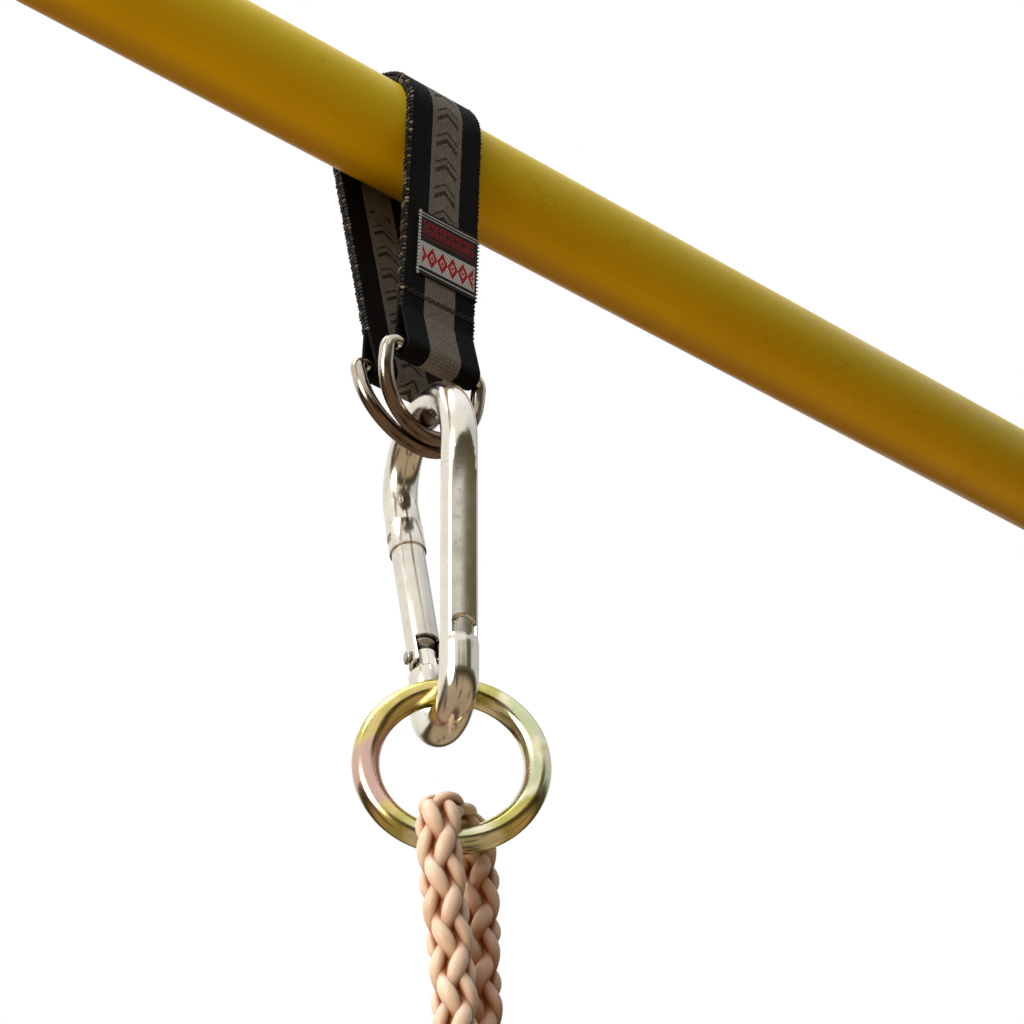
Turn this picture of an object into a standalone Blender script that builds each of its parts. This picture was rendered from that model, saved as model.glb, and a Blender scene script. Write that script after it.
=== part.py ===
"""Hanging hardware of a tire swing, hung over a round steel crossbar.

A sewn webbing strap lies over the bar. Its two end eyes hold steel D-rings, a
spring-gate snap hook goes through both rings, a welded round ring hangs in the
hook, and a doubled braided rope hangs in the round ring.

Axes: X runs along the crossbar, Z is up, and the origin is on the bar's axis
under the middle of the strap.
"""

import math

import bmesh
import bpy
from mathutils import Matrix, Vector

# ---- driving dimensions, in metres ----
MM = 0.001
GAP = 0.25 * MM

BAR_RADIUS = 16.85 * MM
BAR_WALL = 2.6 * MM
BAR_LEFT = -0.26
BAR_RIGHT = 0.40

PLY = 1.6 * MM
PLY_GAP = 0.2 * MM
STRAP_WIDTH = 29.5 * MM
STRAP_CLEARANCE = 0.15 * MM
PINCH_Y = 8.0 * MM
PINCH_Z = -78.0 * MM
EYE_Y = 7.6 * MM
EYE_Z = -92.4 * MM
EYE_RADIUS = 2.6 * MM

LABEL_LEFT = -10.5 * MM
LABEL_TOP = 39.0 * MM
LABEL_HEIGHT = 23.5 * MM
LABEL_THICK = 0.5 * MM
TACK_DROP = 70.0 * MM
TACK_SIZE = (28.5 * MM, 1.4 * MM, 0.5 * MM)

D_WIRE = 2.4 * MM
D_HALF_WIDTH = 18.6 * MM
D_HEIGHT = 25.3 * MM
D_CORNER = 3.2 * MM
D_SHIFT = -1.0 * MM
D_FRONT_TILT = math.radians(15.3)
D_BACK_TILT = math.radians(-7.6)

HOOK_TURN = math.radians(70.0)
HOOK_LEAN = math.radians(9.0)
HOOK_TOP_Z = -108.4 * MM
ROD = 5.5 * MM
BEND_ROD = 5.8 * MM
SPINE_U = -29.7 * MM
WIDE_RADIUS = 24.0 * MM
NOSE_RADIUS = 18.5 * MM
NOSE_CENTRE = 30.5 * MM
GATE_SLANT = math.radians(20.0)
FOOT_RADIUS = 11.8 * MM
FOOT_Z = -97.4 * MM
FOOT_SLANT = math.radians(11.0)
FLAT_DEPTH = 3.7 * MM
FLAT_TOP = -20.0 * MM
FLAT_BOTTOM = -87.0 * MM

GATE_LENGTH = 54.0 * MM
NOSE_RUN = 8.0 * MM
GATE_OUTER = 5.1 * MM
GATE_BORE = 4.1 * MM
COLLAR_OUTER = 5.7 * MM
COLLAR_BORE = 4.5 * MM
COLLAR_LENGTH = 10.0 * MM
GATE_WEB = 38.0 * MM
GATE_TAIL = 2.4 * MM
NECK = 3.5 * MM
STUB = 3.1 * MM
STUB_LENGTH = 8.5 * MM
NOSE_PIN = 1.0 * MM
RIVET = 1.4 * MM
RIVET_HEAD = 2.2 * MM
SPRING_COIL = 3.1 * MM
SPRING_WIRE = 0.45 * MM
SPRING_TURNS = 7

RING_RADIUS = 24.5 * MM
RING_WIRE = 4.0 * MM
RING_TURN = math.radians(-38.0)
RING_X = 0.2 * MM
RING_Y = -2.4 * MM
RING_Z = -233.1 * MM

ROPE = 6.5 * MM
ROPE_TURN = math.radians(24.0)
ROPE_LOW_TURN = math.radians(14.0)
BIGHT = 12.6 * MM
LEG_SPACE = 6.9 * MM
WHIP_TOP = -336.0 * MM
WHIP_LENGTH = 27.0 * MM
LOOP_DROP = 62.0 * MM
LOOP_HALF = 24.0 * MM


# ---- scene and helpers ----
for old in list(bpy.data.objects):
    bpy.data.objects.remove(old, do_unlink=True)

parts = bpy.data.collections.new("tire_swing")
bpy.context.scene.collection.children.link(parts)
cutters = bpy.data.collections.new("cutters")
bpy.context.scene.collection.children.link(cutters)


def material(name, colour, roughness, metallic):
    mat = bpy.data.materials.new(name)
    mat.use_nodes = True
    shader = mat.node_tree.nodes["Principled BSDF"]
    shader.inputs["Base Color"].default_value = (*colour, 1.0)
    shader.inputs["Roughness"].default_value = roughness
    shader.inputs["Metallic"].default_value = metallic
    return mat


def add(obj, mat, parent=None):
    """Put a new object in the parts collection with its material, under its parent."""
    for held in list(obj.users_collection):
        held.objects.unlink(obj)
    parts.objects.link(obj)
    obj.data.materials.clear()
    obj.data.materials.append(mat)
    obj.parent = parent
    return obj


def empty(name, location, rotation=(0.0, 0.0, 0.0), parent=None):
    obj = bpy.data.objects.new(name, None)
    obj.empty_display_size = 0.01
    obj.location = location
    obj.rotation_euler = rotation
    obj.parent = parent
    parts.objects.link(obj)
    return obj


def wire(name, points, radius, cyclic=False, radii=None, resolution=3):
    """A round rod along points, with filled ends."""
    curve = bpy.data.curves.new(name, "CURVE")
    curve.dimensions = "3D"
    curve.twist_mode = "MINIMUM"
    curve.bevel_depth = radius
    curve.bevel_resolution = resolution
    curve.use_fill_caps = not cyclic
    spline = curve.splines.new("POLY")
    spline.points.add(len(points) - 1)
    for index, point in enumerate(points):
        spline.points[index].co = (*point, 1.0)
        if radii:
            spline.points[index].radius = radii[index] / radius
    spline.use_cyclic_u = cyclic
    return bpy.data.objects.new(name, curve)


def outline(name, loops, half):
    """A flat plate with one outer loop and any inner loops, half thick each way."""
    curve = bpy.data.curves.new(name, "CURVE")
    curve.dimensions = "2D"
    curve.fill_mode = "BOTH"
    curve.extrude = half
    for loop in loops:
        spline = curve.splines.new("POLY")
        spline.points.add(len(loop) - 1)
        for index, point in enumerate(loop):
            spline.points[index].co = (point[0], point[1], 0.0, 1.0)
        spline.use_cyclic_u = True
    return bpy.data.objects.new(name, curve)


def to_mesh(curve_object):
    """The curve's evaluated surface as a mesh object with its caps welded on."""
    bpy.context.scene.collection.objects.link(curve_object)
    graph = bpy.context.evaluated_depsgraph_get()
    graph.update()
    mesh = bpy.data.meshes.new_from_object(curve_object.evaluated_get(graph))
    work = bmesh.new()
    work.from_mesh(mesh)
    bmesh.ops.remove_doubles(work, verts=work.verts, dist=0.000002)
    bmesh.ops.recalc_face_normals(work, faces=work.faces)
    work.to_mesh(mesh)
    work.free()
    name = curve_object.name
    world = curve_object.matrix_world.copy()
    bpy.data.objects.remove(curve_object, do_unlink=True)
    made = bpy.data.objects.new(name, mesh)
    made.matrix_world = world
    return made


def lathe(name, profile, steps=32):
    """A profile of (radius, height) turned about Z."""
    mesh = bpy.data.meshes.new(name)
    work = bmesh.new()
    rim = [work.verts.new((radius, 0.0, height)) for radius, height in profile]
    for index in range(len(rim)):
        work.edges.new((rim[index], rim[(index + 1) % len(rim)]))
    work.to_mesh(mesh)
    work.free()
    obj = bpy.data.objects.new(name, mesh)
    screw = obj.modifiers.new("Turn", "SCREW")
    screw.steps = steps
    screw.render_steps = steps
    screw.use_merge_vertices = True
    screw.merge_threshold = 0.00001
    return obj


def box(name, size, location):
    mesh = bpy.data.meshes.new(name)
    work = bmesh.new()
    bmesh.ops.create_cube(work, size=1.0, matrix=Matrix.Diagonal((*size, 1.0)))
    work.to_mesh(mesh)
    work.free()
    obj = bpy.data.objects.new(name, mesh)
    obj.location = location
    return obj


def rod(name, radius, length, location, axis="Z", sides=24):
    mesh = bpy.data.meshes.new(name)
    work = bmesh.new()
    bmesh.ops.create_cone(work, cap_ends=True, segments=sides, radius1=radius, radius2=radius, depth=length)
    work.to_mesh(mesh)
    work.free()
    obj = bpy.data.objects.new(name, mesh)
    obj.location = location
    if axis == "Y":
        obj.rotation_euler = (math.radians(90.0), 0.0, 0.0)
    if axis == "X":
        obj.rotation_euler = (0.0, math.radians(90.0), 0.0)
    return obj


def cut(target, cutter, parent=None, operation="DIFFERENCE"):
    for held in list(cutter.users_collection):
        held.objects.unlink(cutter)
    cutters.objects.link(cutter)
    cutter.parent = parent
    cutter.hide_render = True
    cutter.display_type = "WIRE"
    boolean = target.modifiers.new(operation.title(), "BOOLEAN")
    boolean.operation = operation
    boolean.object = cutter
    boolean.solver = "EXACT"


def smooth(obj, angle=40.0):
    obj.data.shade_smooth()
    obj.data.set_sharp_from_angle(angle=math.radians(angle))


def arc(centre, radius, start, end, count):
    """Points on a circle from start to end, in radians, both ends included."""
    found = []
    for step in range(count + 1):
        turn = start + (end - start) * step / count
        found.append((centre[0] + radius * math.cos(turn), centre[1] + radius * math.sin(turn)))
    return found


def tangent_angle(centre, radius, point, side):
    """Where on the circle the line from a point outside touches it; side is +1 or -1."""
    away = (point[0] - centre[0], point[1] - centre[1])
    return math.atan2(away[1], away[0]) + side * math.acos(radius / math.hypot(*away))


def offset_loop(path, distance):
    """A closed path moved sideways to its left by distance."""
    moved = []
    count = len(path)
    for index in range(count):
        before = Vector(path[index - 1])
        here = Vector(path[index])
        after = Vector(path[(index + 1) % count])
        one = (here - before).normalized()
        two = (after - here).normalized()
        normal = Vector((-(one.y + two.y), one.x + two.x)).normalized()
        reach = distance / max(0.5, normal.dot(Vector((-one.y, one.x))))
        moved.append((here.x + normal.x * reach, here.y + normal.y * reach))
    return moved


yellow_paint = material("yellow_paint", (0.72, 0.40, 0.02), 0.28, 0.0)
webbing = material("webbing", (0.03, 0.03, 0.035), 0.85, 0.0)
thread = material("thread", (0.02, 0.02, 0.022), 0.8, 0.0)
label_cloth = material("label_cloth", (0.30, 0.05, 0.05), 0.8, 0.0)
polished_steel = material("polished_steel", (0.66, 0.63, 0.59), 0.18, 1.0)
spring_steel = material("spring_steel", (0.45, 0.44, 0.42), 0.35, 1.0)
zinc_yellow = material("zinc_yellow", (0.72, 0.60, 0.33), 0.24, 1.0)
rope_yarn = material("rope_yarn", (0.76, 0.52, 0.36), 0.45, 0.0)
whip_twine = material("whip_twine", (0.70, 0.62, 0.50), 0.7, 0.0)


# ---- crossbar: an open steel tube along X ----
bar = lathe(
    "crossbar_tube",
    [
        (BAR_RADIUS - BAR_WALL, BAR_LEFT),
        (BAR_RADIUS - BAR_WALL, BAR_RIGHT),
        (BAR_RADIUS, BAR_RIGHT),
        (BAR_RADIUS, BAR_LEFT),
    ],
    steps=72,
)
bar.rotation_euler = (0.0, math.radians(90.0), 0.0)
add(bar, yellow_paint)
smooth(bar)


# ---- strap: an endless band of webbing flattened to two plies over the bar ----
LEG_RADIUS = BAR_RADIUS + STRAP_CLEARANCE + PLY + PLY_GAP / 2.0
PLY_MID = (PLY + PLY_GAP) / 2.0


def ply_side(offset, side):
    """One ply from the middle of the bar's top down to the pinch, on the +Y side times side."""
    touch = tangent_angle((0.0, 0.0), LEG_RADIUS, (PINCH_Y, PINCH_Z), 1)
    along = arc((0.0, 0.0), LEG_RADIUS + offset, math.radians(90.0), touch, 16)
    end = along[-1]
    direction = Vector((PINCH_Y, PINCH_Z)) - Vector((LEG_RADIUS * math.cos(touch), LEG_RADIUS * math.sin(touch)))
    outward = Vector((-direction.y, direction.x)).normalized() * offset
    last = (PINCH_Y + outward.x, PINCH_Z + outward.y)
    for step in range(1, 9):
        along.append((end[0] + (last[0] - end[0]) * step / 8, end[1] + (last[1] - end[1]) * step / 8))
    return [(side * point[0], point[1]) for point in along]


def eye_turn(start, end):
    """Round the eye from the outer ply's end to the inner ply's end, on the +Y side."""
    centre = (EYE_Y, EYE_Z)
    radius = EYE_RADIUS + PLY / 2.0
    first = tangent_angle(centre, radius, start, -1)
    last = tangent_angle(centre, radius, end, 1)
    while last > first:
        last -= 2.0 * math.pi
    return arc(centre, radius, first, last, 22)


outer_back = ply_side(PLY_MID, 1)
inner_back = ply_side(-PLY_MID, 1)
back_eye = eye_turn(outer_back[-1], inner_back[-1])
half = outer_back + back_eye + inner_back[::-1]
outer_front = [(-point[0], point[1]) for point in outer_back]
inner_front = [(-point[0], point[1]) for point in inner_back]
front_eye = [(-point[0], point[1]) for point in back_eye]
band = half + inner_front[1:] + front_eye[::-1] + outer_front[::-1][:-1]
one_side = offset_loop(band, PLY / 2.0)
other_side = offset_loop(band, -PLY / 2.0)
strap = outline("strap_webbing", [one_side, other_side], STRAP_WIDTH / 2.0)
strap.rotation_euler = (math.radians(90.0), 0.0, math.radians(90.0))
add(strap, webbing)

# frame of the front leg's outer face: origin where the leg leaves the bar, -Z down the leg
leg_touch = tangent_angle((0.0, 0.0), LEG_RADIUS, (PINCH_Y, PINCH_Z), 1)
leg_start = Vector((0.0, -LEG_RADIUS * math.cos(leg_touch), LEG_RADIUS * math.sin(leg_touch)))
leg_down = (Vector((0.0, -PINCH_Y, PINCH_Z)) - leg_start).normalized()
leg_angle = math.atan2(leg_down.y, -leg_down.z)
front_leg = empty("front_leg_face", leg_start, (leg_angle, 0.0, 0.0))
back_leg = empty("back_leg_face", (0.0, -leg_start.y, leg_start.z), (leg_angle, 0.0, math.radians(180.0)))
LEG_HALF = PLY + PLY_GAP / 2.0

# label: a folded strip round the leg's right edge, open on its left
inner_half = LEG_HALF + 0.15 * MM
outer_half = inner_half + LABEL_THICK
right_in = STRAP_WIDTH / 2.0 + 0.15 * MM
right_out = right_in + LABEL_THICK
fold = [
    (LABEL_LEFT, -outer_half),
    (right_out - 0.4 * MM, -outer_half),
    (right_out, -outer_half + 0.4 * MM),
    (right_out, outer_half - 0.4 * MM),
    (right_out - 0.4 * MM, outer_half),
    (LABEL_LEFT, outer_half),
    (LABEL_LEFT, inner_half),
    (right_in, inner_half),
    (right_in, -inner_half),
    (LABEL_LEFT, -inner_half),
]
label = outline("woven_label", [fold], LABEL_HEIGHT / 2.0)
label.location = (0.0, 0.0, -(LABEL_TOP + LABEL_HEIGHT / 2.0))
add(label, label_cloth, front_leg)

# thread rows that close each end eye above its ring
for tack_name, leg in (("front_eye_stitching", front_leg), ("back_eye_stitching", back_leg)):
    tack = box(
        tack_name,
        (TACK_SIZE[0], TACK_SIZE[2], TACK_SIZE[1]),
        (0.0, -(LEG_HALF + GAP + TACK_SIZE[2] / 2.0), -TACK_DROP),
    )
    add(tack, thread, leg)
    round_edges = tack.modifiers.new("Round", "BEVEL")
    round_edges.width = 0.2 * MM
    round_edges.segments = 2


# ---- D-rings: bent steel wire, the straight bar in the strap's eye ----
def d_ring(name, side, tilt, bow_shift):
    """side is -1 for the front ring and +1 for the back ring."""
    corner = D_HALF_WIDTH - D_CORNER
    bow_centre = D_HEIGHT - D_HALF_WIDTH
    loop = arc((corner, D_CORNER), D_CORNER, math.radians(-90.0), 0.0, 5)[:-1]
    loop += arc((0.0, bow_centre), D_HALF_WIDTH, 0.0, math.pi, 26)[:-1]
    loop += arc((-corner, D_CORNER), D_CORNER, math.pi, 1.5 * math.pi, 5)
    points = []
    for across, down in loop:
        lean = bow_shift * down / D_HEIGHT
        points.append((across + lean, 0.0, -down))
    ring = wire(name, points, D_WIRE, cyclic=True)
    ring.location = (D_SHIFT, side * EYE_Y, EYE_Z)
    ring.rotation_euler = (tilt, 0.0, 0.0)
    return add(ring, polished_steel)


d_ring("front_d_ring", -1, D_FRONT_TILT, 0.7 * MM)
d_ring("back_d_ring", 1, D_BACK_TILT, 2.0 * MM)


# ---- snap hook: one bent rod, drawn in its own plane (X across, Z up) ----
hook = empty("hook_frame", (0.0, 0.0, HOOK_TOP_Z), (0.0, -HOOK_LEAN, HOOK_TURN))

spine_x = SPINE_U
nose_centre = (spine_x + NOSE_CENTRE, -NOSE_RADIUS)
gate_top = (
    nose_centre[0] + NOSE_RADIUS * math.cos(GATE_SLANT),
    nose_centre[1] - NOSE_RADIUS * math.sin(GATE_SLANT),
)
gate_dir = (math.sin(GATE_SLANT), math.cos(GATE_SLANT))
GATE_REACH = NOSE_RUN + GATE_LENGTH
rivet = (gate_top[0] - gate_dir[0] * GATE_REACH, gate_top[1] - gate_dir[1] * GATE_REACH)
foot_centre = (spine_x + FOOT_RADIUS, FOOT_Z)
foot_end = (
    foot_centre[0] + FOOT_RADIUS * math.cos(FOOT_SLANT),
    foot_centre[1] - FOOT_RADIUS * math.sin(FOOT_SLANT),
)


def blend_points(start, start_dir, end, end_dir, count):
    """A smooth curve from start to end that leaves and meets them along the two directions."""
    reach = math.dist(start, end) * 0.9
    found = []
    for step in range(1, count):
        t = step / count
        a = 2 * t**3 - 3 * t**2 + 1
        b = t**3 - 2 * t**2 + t
        c = -2 * t**3 + 3 * t**2
        d = t**3 - t**2
        found.append(
            (
                a * start[0] + b * reach * start_dir[0] + c * end[0] + d * reach * end_dir[0],
                a * start[1] + b * reach * start_dir[1] + c * end[1] + d * reach * end_dir[1],
            )
        )
    return found


def along_gate(distance):
    """A point on the gate's line, distance above the rivet."""
    return (rivet[0] + gate_dir[0] * distance, rivet[1] + gate_dir[1] * distance)


path = []
sizes = []


def lay(points, radius):
    for point in points:
        path.append((point[0], 0.0, point[1]))
        sizes.append(radius)


# the stub inside the gate's collar, then the nose, the wide top, the spine, the foot and the hinge neck
nose_shoulder = GATE_LENGTH + 0.3 * MM
lay([along_gate(nose_shoulder - STUB_LENGTH)], STUB - 0.7 * MM)
lay([along_gate(nose_shoulder - STUB_LENGTH + 0.7 * MM)], STUB)
lay([along_gate(nose_shoulder - 0.02 * MM)], STUB)
lay([along_gate(nose_shoulder)], ROD - 0.3 * MM)
lay([along_gate(nose_shoulder + 0.4 * MM)], ROD)
lay(arc(nose_centre, NOSE_RADIUS, -GATE_SLANT, math.radians(90.0), 12)[1:], ROD)
lay(arc((spine_x + WIDE_RADIUS, -WIDE_RADIUS), WIDE_RADIUS, math.radians(90.0), math.pi, 12), ROD)
lay([(spine_x, -30.0 * MM), (spine_x, -50.0 * MM), (spine_x, -70.0 * MM), (spine_x, -87.6 * MM)], ROD)
lay([(spine_x, -89.6 * MM)], BEND_ROD)
lay(arc(foot_centre, FOOT_RADIUS, math.pi, 2.0 * math.pi - FOOT_SLANT, 18), BEND_ROD)
neck_low = along_gate(-6.6 * MM)
up_foot = (math.sin(FOOT_SLANT), math.cos(FOOT_SLANT))
lay(blend_points(foot_end, up_foot, neck_low, gate_dir, 5), BEND_ROD)
lay([neck_low], BEND_ROD)
lay([along_gate(-6.2 * MM)], BEND_ROD - 0.4 * MM)
lay([along_gate(-6.18 * MM)], NECK)
lay([along_gate(0.0), along_gate(1.6 * MM)], NECK)
lay([along_gate(2.9 * MM)], NECK - 0.8 * MM)
lay([along_gate(3.5 * MM)], NECK - 2.0 * MM)
hook_rod = wire("snap_hook_body", path, ROD, radii=sizes, resolution=4)
hook_body = to_mesh(hook_rod)
add(hook_body, polished_steel, hook)
smooth(hook_body)

# the pressed flat on the spine's outer side
flat = box(
    "spine_flat_cutter",
    (10.0 * MM, 20.0 * MM, FLAT_TOP - FLAT_BOTTOM),
    (spine_x - FLAT_DEPTH - 5.0 * MM, 0.0, (FLAT_TOP + FLAT_BOTTOM) / 2.0),
)
cut(hook_body, flat, hook)

# gate frame: Z up the gate, X away from the spine, on the rivet's axis
gate_frame = empty("gate_frame", (rivet[0], 0.0, rivet[1]), (0.0, GATE_SLANT, 0.0), hook)
rivet_hole = rod("rivet_hole_cutter", RIVET + 0.15 * MM, 20.0 * MM, (0.0, 0.0, 0.0), "Y")
cut(hook_body, rivet_hole, gate_frame)
pin_height = GATE_LENGTH - 5.0 * MM
pin_hole = rod("nose_hole_cutter", NOSE_PIN + 0.12 * MM, 20.0 * MM, (0.0, 0.0, pin_height), "Y")
cut(hook_body, pin_hole, gate_frame)

# gate: a turned sleeve, open along its sides for the neck, the stub and the nose pin
gate = lathe(
    "gate_sleeve",
    [
        (GATE_BORE, -GATE_TAIL),
        (GATE_BORE, GATE_WEB),
        (1.5 * MM, GATE_WEB),
        (1.5 * MM, GATE_WEB + 2.0 * MM),
        (COLLAR_BORE, GATE_WEB + 2.0 * MM),
        (COLLAR_BORE, GATE_LENGTH),
        (COLLAR_OUTER, GATE_LENGTH),
        (COLLAR_OUTER, GATE_LENGTH - COLLAR_LENGTH),
        (GATE_OUTER, GATE_LENGTH - COLLAR_LENGTH - 0.6 * MM),
        (GATE_OUTER, -GATE_TAIL),
    ],
    steps=32,
)
add(gate, polished_steel, gate_frame)
smooth(gate)
neck_slot = box("neck_slot_cutter", (10.0 * MM, 7.4 * MM, 11.6 * MM), (-6.0 * MM, 0.0, 0.6 * MM))
cut(gate, neck_slot, gate_frame)
stub_slot = box("stub_slot_cutter", (10.0 * MM, 7.0 * MM, 14.0 * MM), (5.0 * MM, 0.0, GATE_LENGTH - 4.0 * MM))
cut(gate, stub_slot, gate_frame)
pin_slot = box("pin_slot_cutter", (9.2 * MM, 20.0 * MM, 3.2 * MM), (3.1 * MM, 0.0, pin_height))
cut(gate, pin_slot, gate_frame)
ear_hole = rod("ear_hole_cutter", RIVET + 0.2 * MM, 20.0 * MM, (0.0, 0.0, 0.0), "Y")
cut(gate, ear_hole, gate_frame)
tail_bevel = box("tail_bevel_cutter", (16.0 * MM, 20.0 * MM, 6.0 * MM), (-5.0 * MM, 0.0, -5.2 * MM))
tail_bevel.rotation_euler = (0.0, math.radians(28.0), 0.0)
cut(gate, tail_bevel, gate_frame)

# rivet with two heads, fixed in the hook's neck
rivet_pin = lathe(
    "gate_rivet",
    [
        (0.0, GATE_OUTER + 1.2 * MM),
        (RIVET_HEAD - 0.5 * MM, GATE_OUTER + 1.2 * MM),
        (RIVET_HEAD, GATE_OUTER + 0.8 * MM),
        (RIVET_HEAD, GATE_OUTER + 0.2 * MM),
        (RIVET, GATE_OUTER + 0.2 * MM),
        (RIVET, -GATE_OUTER - 0.2 * MM),
        (RIVET_HEAD, -GATE_OUTER - 0.2 * MM),
        (RIVET_HEAD, -GATE_OUTER - 0.8 * MM),
        (RIVET_HEAD - 0.5 * MM, -GATE_OUTER - 1.2 * MM),
        (0.0, -GATE_OUTER - 1.2 * MM),
    ],
    steps=20,
)
rivet_pin.rotation_euler = (math.radians(90.0), 0.0, 0.0)
add(rivet_pin, spring_steel, gate_frame)
smooth(rivet_pin)

nose_pin = rod("nose_pin", NOSE_PIN, 10.6 * MM, (0.0, 0.0, pin_height), "Y", sides=16)
add(nose_pin, spring_steel, gate_frame)
smooth(nose_pin)

# spring and plunger inside the gate
plunger = lathe(
    "gate_plunger",
    [
        (0.0, 9.0 * MM),
        (1.6 * MM, 9.0 * MM),
        (1.6 * MM, 7.2 * MM),
        (3.7 * MM, 7.2 * MM),
        (3.7 * MM, 5.2 * MM),
        (2.2 * MM, 4.1 * MM),
        (0.0, 4.1 * MM),
    ],
    steps=20,
)
add(plunger, spring_steel, gate_frame)
smooth(plunger)

coil = []
SPRING_LOW = 7.2 * MM + SPRING_WIRE + GAP
SPRING_HIGH = GATE_WEB - SPRING_WIRE - GAP
SPRING_STEPS = SPRING_TURNS * 10
for step in range(SPRING_STEPS + 1):
    turn = 2.0 * math.pi * SPRING_TURNS * step / SPRING_STEPS
    height = SPRING_LOW + (SPRING_HIGH - SPRING_LOW) * step / SPRING_STEPS
    coil.append((SPRING_COIL * math.cos(turn), SPRING_COIL * math.sin(turn), height))
add(wire("gate_spring", coil, SPRING_WIRE, resolution=2), spring_steel, gate_frame)


# ---- round ring, welded from 8 mm rod ----
bpy.ops.mesh.primitive_torus_add(
    major_radius=RING_RADIUS,
    minor_radius=RING_WIRE,
    major_segments=56,
    minor_segments=14,
    location=(RING_X, RING_Y, RING_Z),
    rotation=(math.radians(90.0), 0.0, RING_TURN),
)
ring = bpy.context.object
ring.name = "swing_ring"
ring.data.name = "swing_ring"
add(ring, zinc_yellow)
smooth(ring)


# ---- rope: one braided rope, doubled over the ring and whipped into a loop below ----
RING_LOW_Z = RING_Z - RING_RADIUS


def rope_point(side, height, drop):
    """A point side metres out from the rope's middle plane; its direction turns with the drop."""
    share = min(1.0, max(0.0, drop / (RING_LOW_Z - WHIP_TOP)))
    turn = ROPE_TURN + (ROPE_LOW_TURN - ROPE_TURN) * share
    return (RING_X + side * math.cos(turn), RING_Y + side * math.sin(turn), height)


def leg_spread(drop):
    """Half the distance between the legs, from the bight down to the whipping."""
    share = min(1.0, max(0.0, drop / (0.62 * (RING_LOW_Z - WHIP_TOP))))
    ease = share * share * (3.0 - 2.0 * share)
    return BIGHT + (LEG_SPACE - BIGHT) * ease


WHIP_BOTTOM = WHIP_TOP - WHIP_LENGTH
END_Z = WHIP_TOP - WHIP_LENGTH * 0.5
down_leg = []
LEG_STEPS = 12
for step in range(LEG_STEPS + 1):
    drop = (RING_LOW_Z - END_Z) * step / LEG_STEPS
    down_leg.append((leg_spread(drop), RING_LOW_Z - drop, drop))
route = [rope_point(spread, height, drop) for spread, height, drop in down_leg[::-1]]
BIGHT_STEPS = 12
for step in range(1, BIGHT_STEPS):
    turn = math.pi * step / BIGHT_STEPS
    rise = (RING_WIRE + ROPE + 0.5 * MM) * math.sin(turn)
    route.append(rope_point(BIGHT * math.cos(turn), RING_LOW_Z + rise, 0.0))
route += [rope_point(-spread, height, drop) for spread, height, drop in down_leg]
LOW_DROP = RING_LOW_Z - WHIP_TOP
route.append(rope_point(-LEG_SPACE, WHIP_BOTTOM, LOW_DROP))
LOOP_STEPS = 26
for step in range(1, LOOP_STEPS):
    t = step / LOOP_STEPS
    swing = math.sin(math.pi * t)
    side = -LEG_SPACE * math.cos(math.pi * t) - LOOP_HALF * math.sin(2.0 * math.pi * t) * swing**0.6
    route.append(rope_point(side, WHIP_BOTTOM - LOOP_DROP * swing**1.1, LOW_DROP))
route.append(rope_point(LEG_SPACE, WHIP_BOTTOM, LOW_DROP))
route.append(rope_point(LEG_SPACE, END_Z - 1.0 * MM, LOW_DROP))
add(wire("swing_rope", route, ROPE, resolution=3), rope_yarn)


# ---- whipping: a tight sleeve of twine that holds the two strands side by side ----
def stadium(radius, count):
    right = arc((LEG_SPACE, 0.0), radius, math.radians(-90.0), math.radians(90.0), count)
    left = arc((-LEG_SPACE, 0.0), radius, math.radians(90.0), math.radians(270.0), count)
    return right + left


whipping = outline("rope_whipping", [stadium(ROPE + 1.9 * MM, 14), stadium(ROPE + GAP, 14)], WHIP_LENGTH / 2.0)
whipping.location = (RING_X, RING_Y, WHIP_TOP - WHIP_LENGTH / 2.0)
whipping.rotation_euler = (0.0, 0.0, ROPE_LOW_TURN)
add(whipping, whip_twine)
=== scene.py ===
"""The hanger of a tire swing: crossbar, webbing strap, D-rings, snap hook, round ring and braided rope."""

import math

import bmesh
import bpy
from mathutils import Matrix, Vector, noise


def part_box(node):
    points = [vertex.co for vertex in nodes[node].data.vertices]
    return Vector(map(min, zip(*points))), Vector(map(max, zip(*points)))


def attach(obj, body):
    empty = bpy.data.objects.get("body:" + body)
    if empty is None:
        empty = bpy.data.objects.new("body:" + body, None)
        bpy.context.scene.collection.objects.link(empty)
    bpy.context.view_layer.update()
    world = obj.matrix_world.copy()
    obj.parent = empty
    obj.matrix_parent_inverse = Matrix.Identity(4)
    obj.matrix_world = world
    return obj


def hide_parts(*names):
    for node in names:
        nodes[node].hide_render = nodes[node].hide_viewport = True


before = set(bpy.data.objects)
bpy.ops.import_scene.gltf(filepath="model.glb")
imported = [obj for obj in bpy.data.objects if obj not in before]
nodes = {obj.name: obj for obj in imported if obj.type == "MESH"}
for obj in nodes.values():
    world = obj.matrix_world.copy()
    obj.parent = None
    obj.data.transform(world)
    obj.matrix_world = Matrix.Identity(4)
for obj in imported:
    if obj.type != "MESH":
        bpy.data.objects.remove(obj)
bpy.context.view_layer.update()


# ---- crossbar ----
# The swing frame's top rail: a 33.7 mm steel tube, sprayed with a thick yellow enamel.
# The coat is glossy and slightly rippled, a little darker where it is worn, with fine marks
# where the strap and its hook have been dragged along it. Its cut ends run on into the frame.
MM = 0.001
BAR_RADIUS = 16.85 * MM
BAR_WALL = 2.6 * MM


def put(tree, kind, inputs=None, **settings):
    """A new node with its settings; inputs are values or other nodes' outputs, by name or number."""
    made = tree.nodes.new(kind)
    for name, value in settings.items():
        setattr(made, name, value)
    for name, value in (inputs or {}).items():
        socket = made.inputs[name]
        if isinstance(value, bpy.types.NodeSocket):
            tree.links.new(value, socket)
        else:
            socket.default_value = value
    return made


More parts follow.
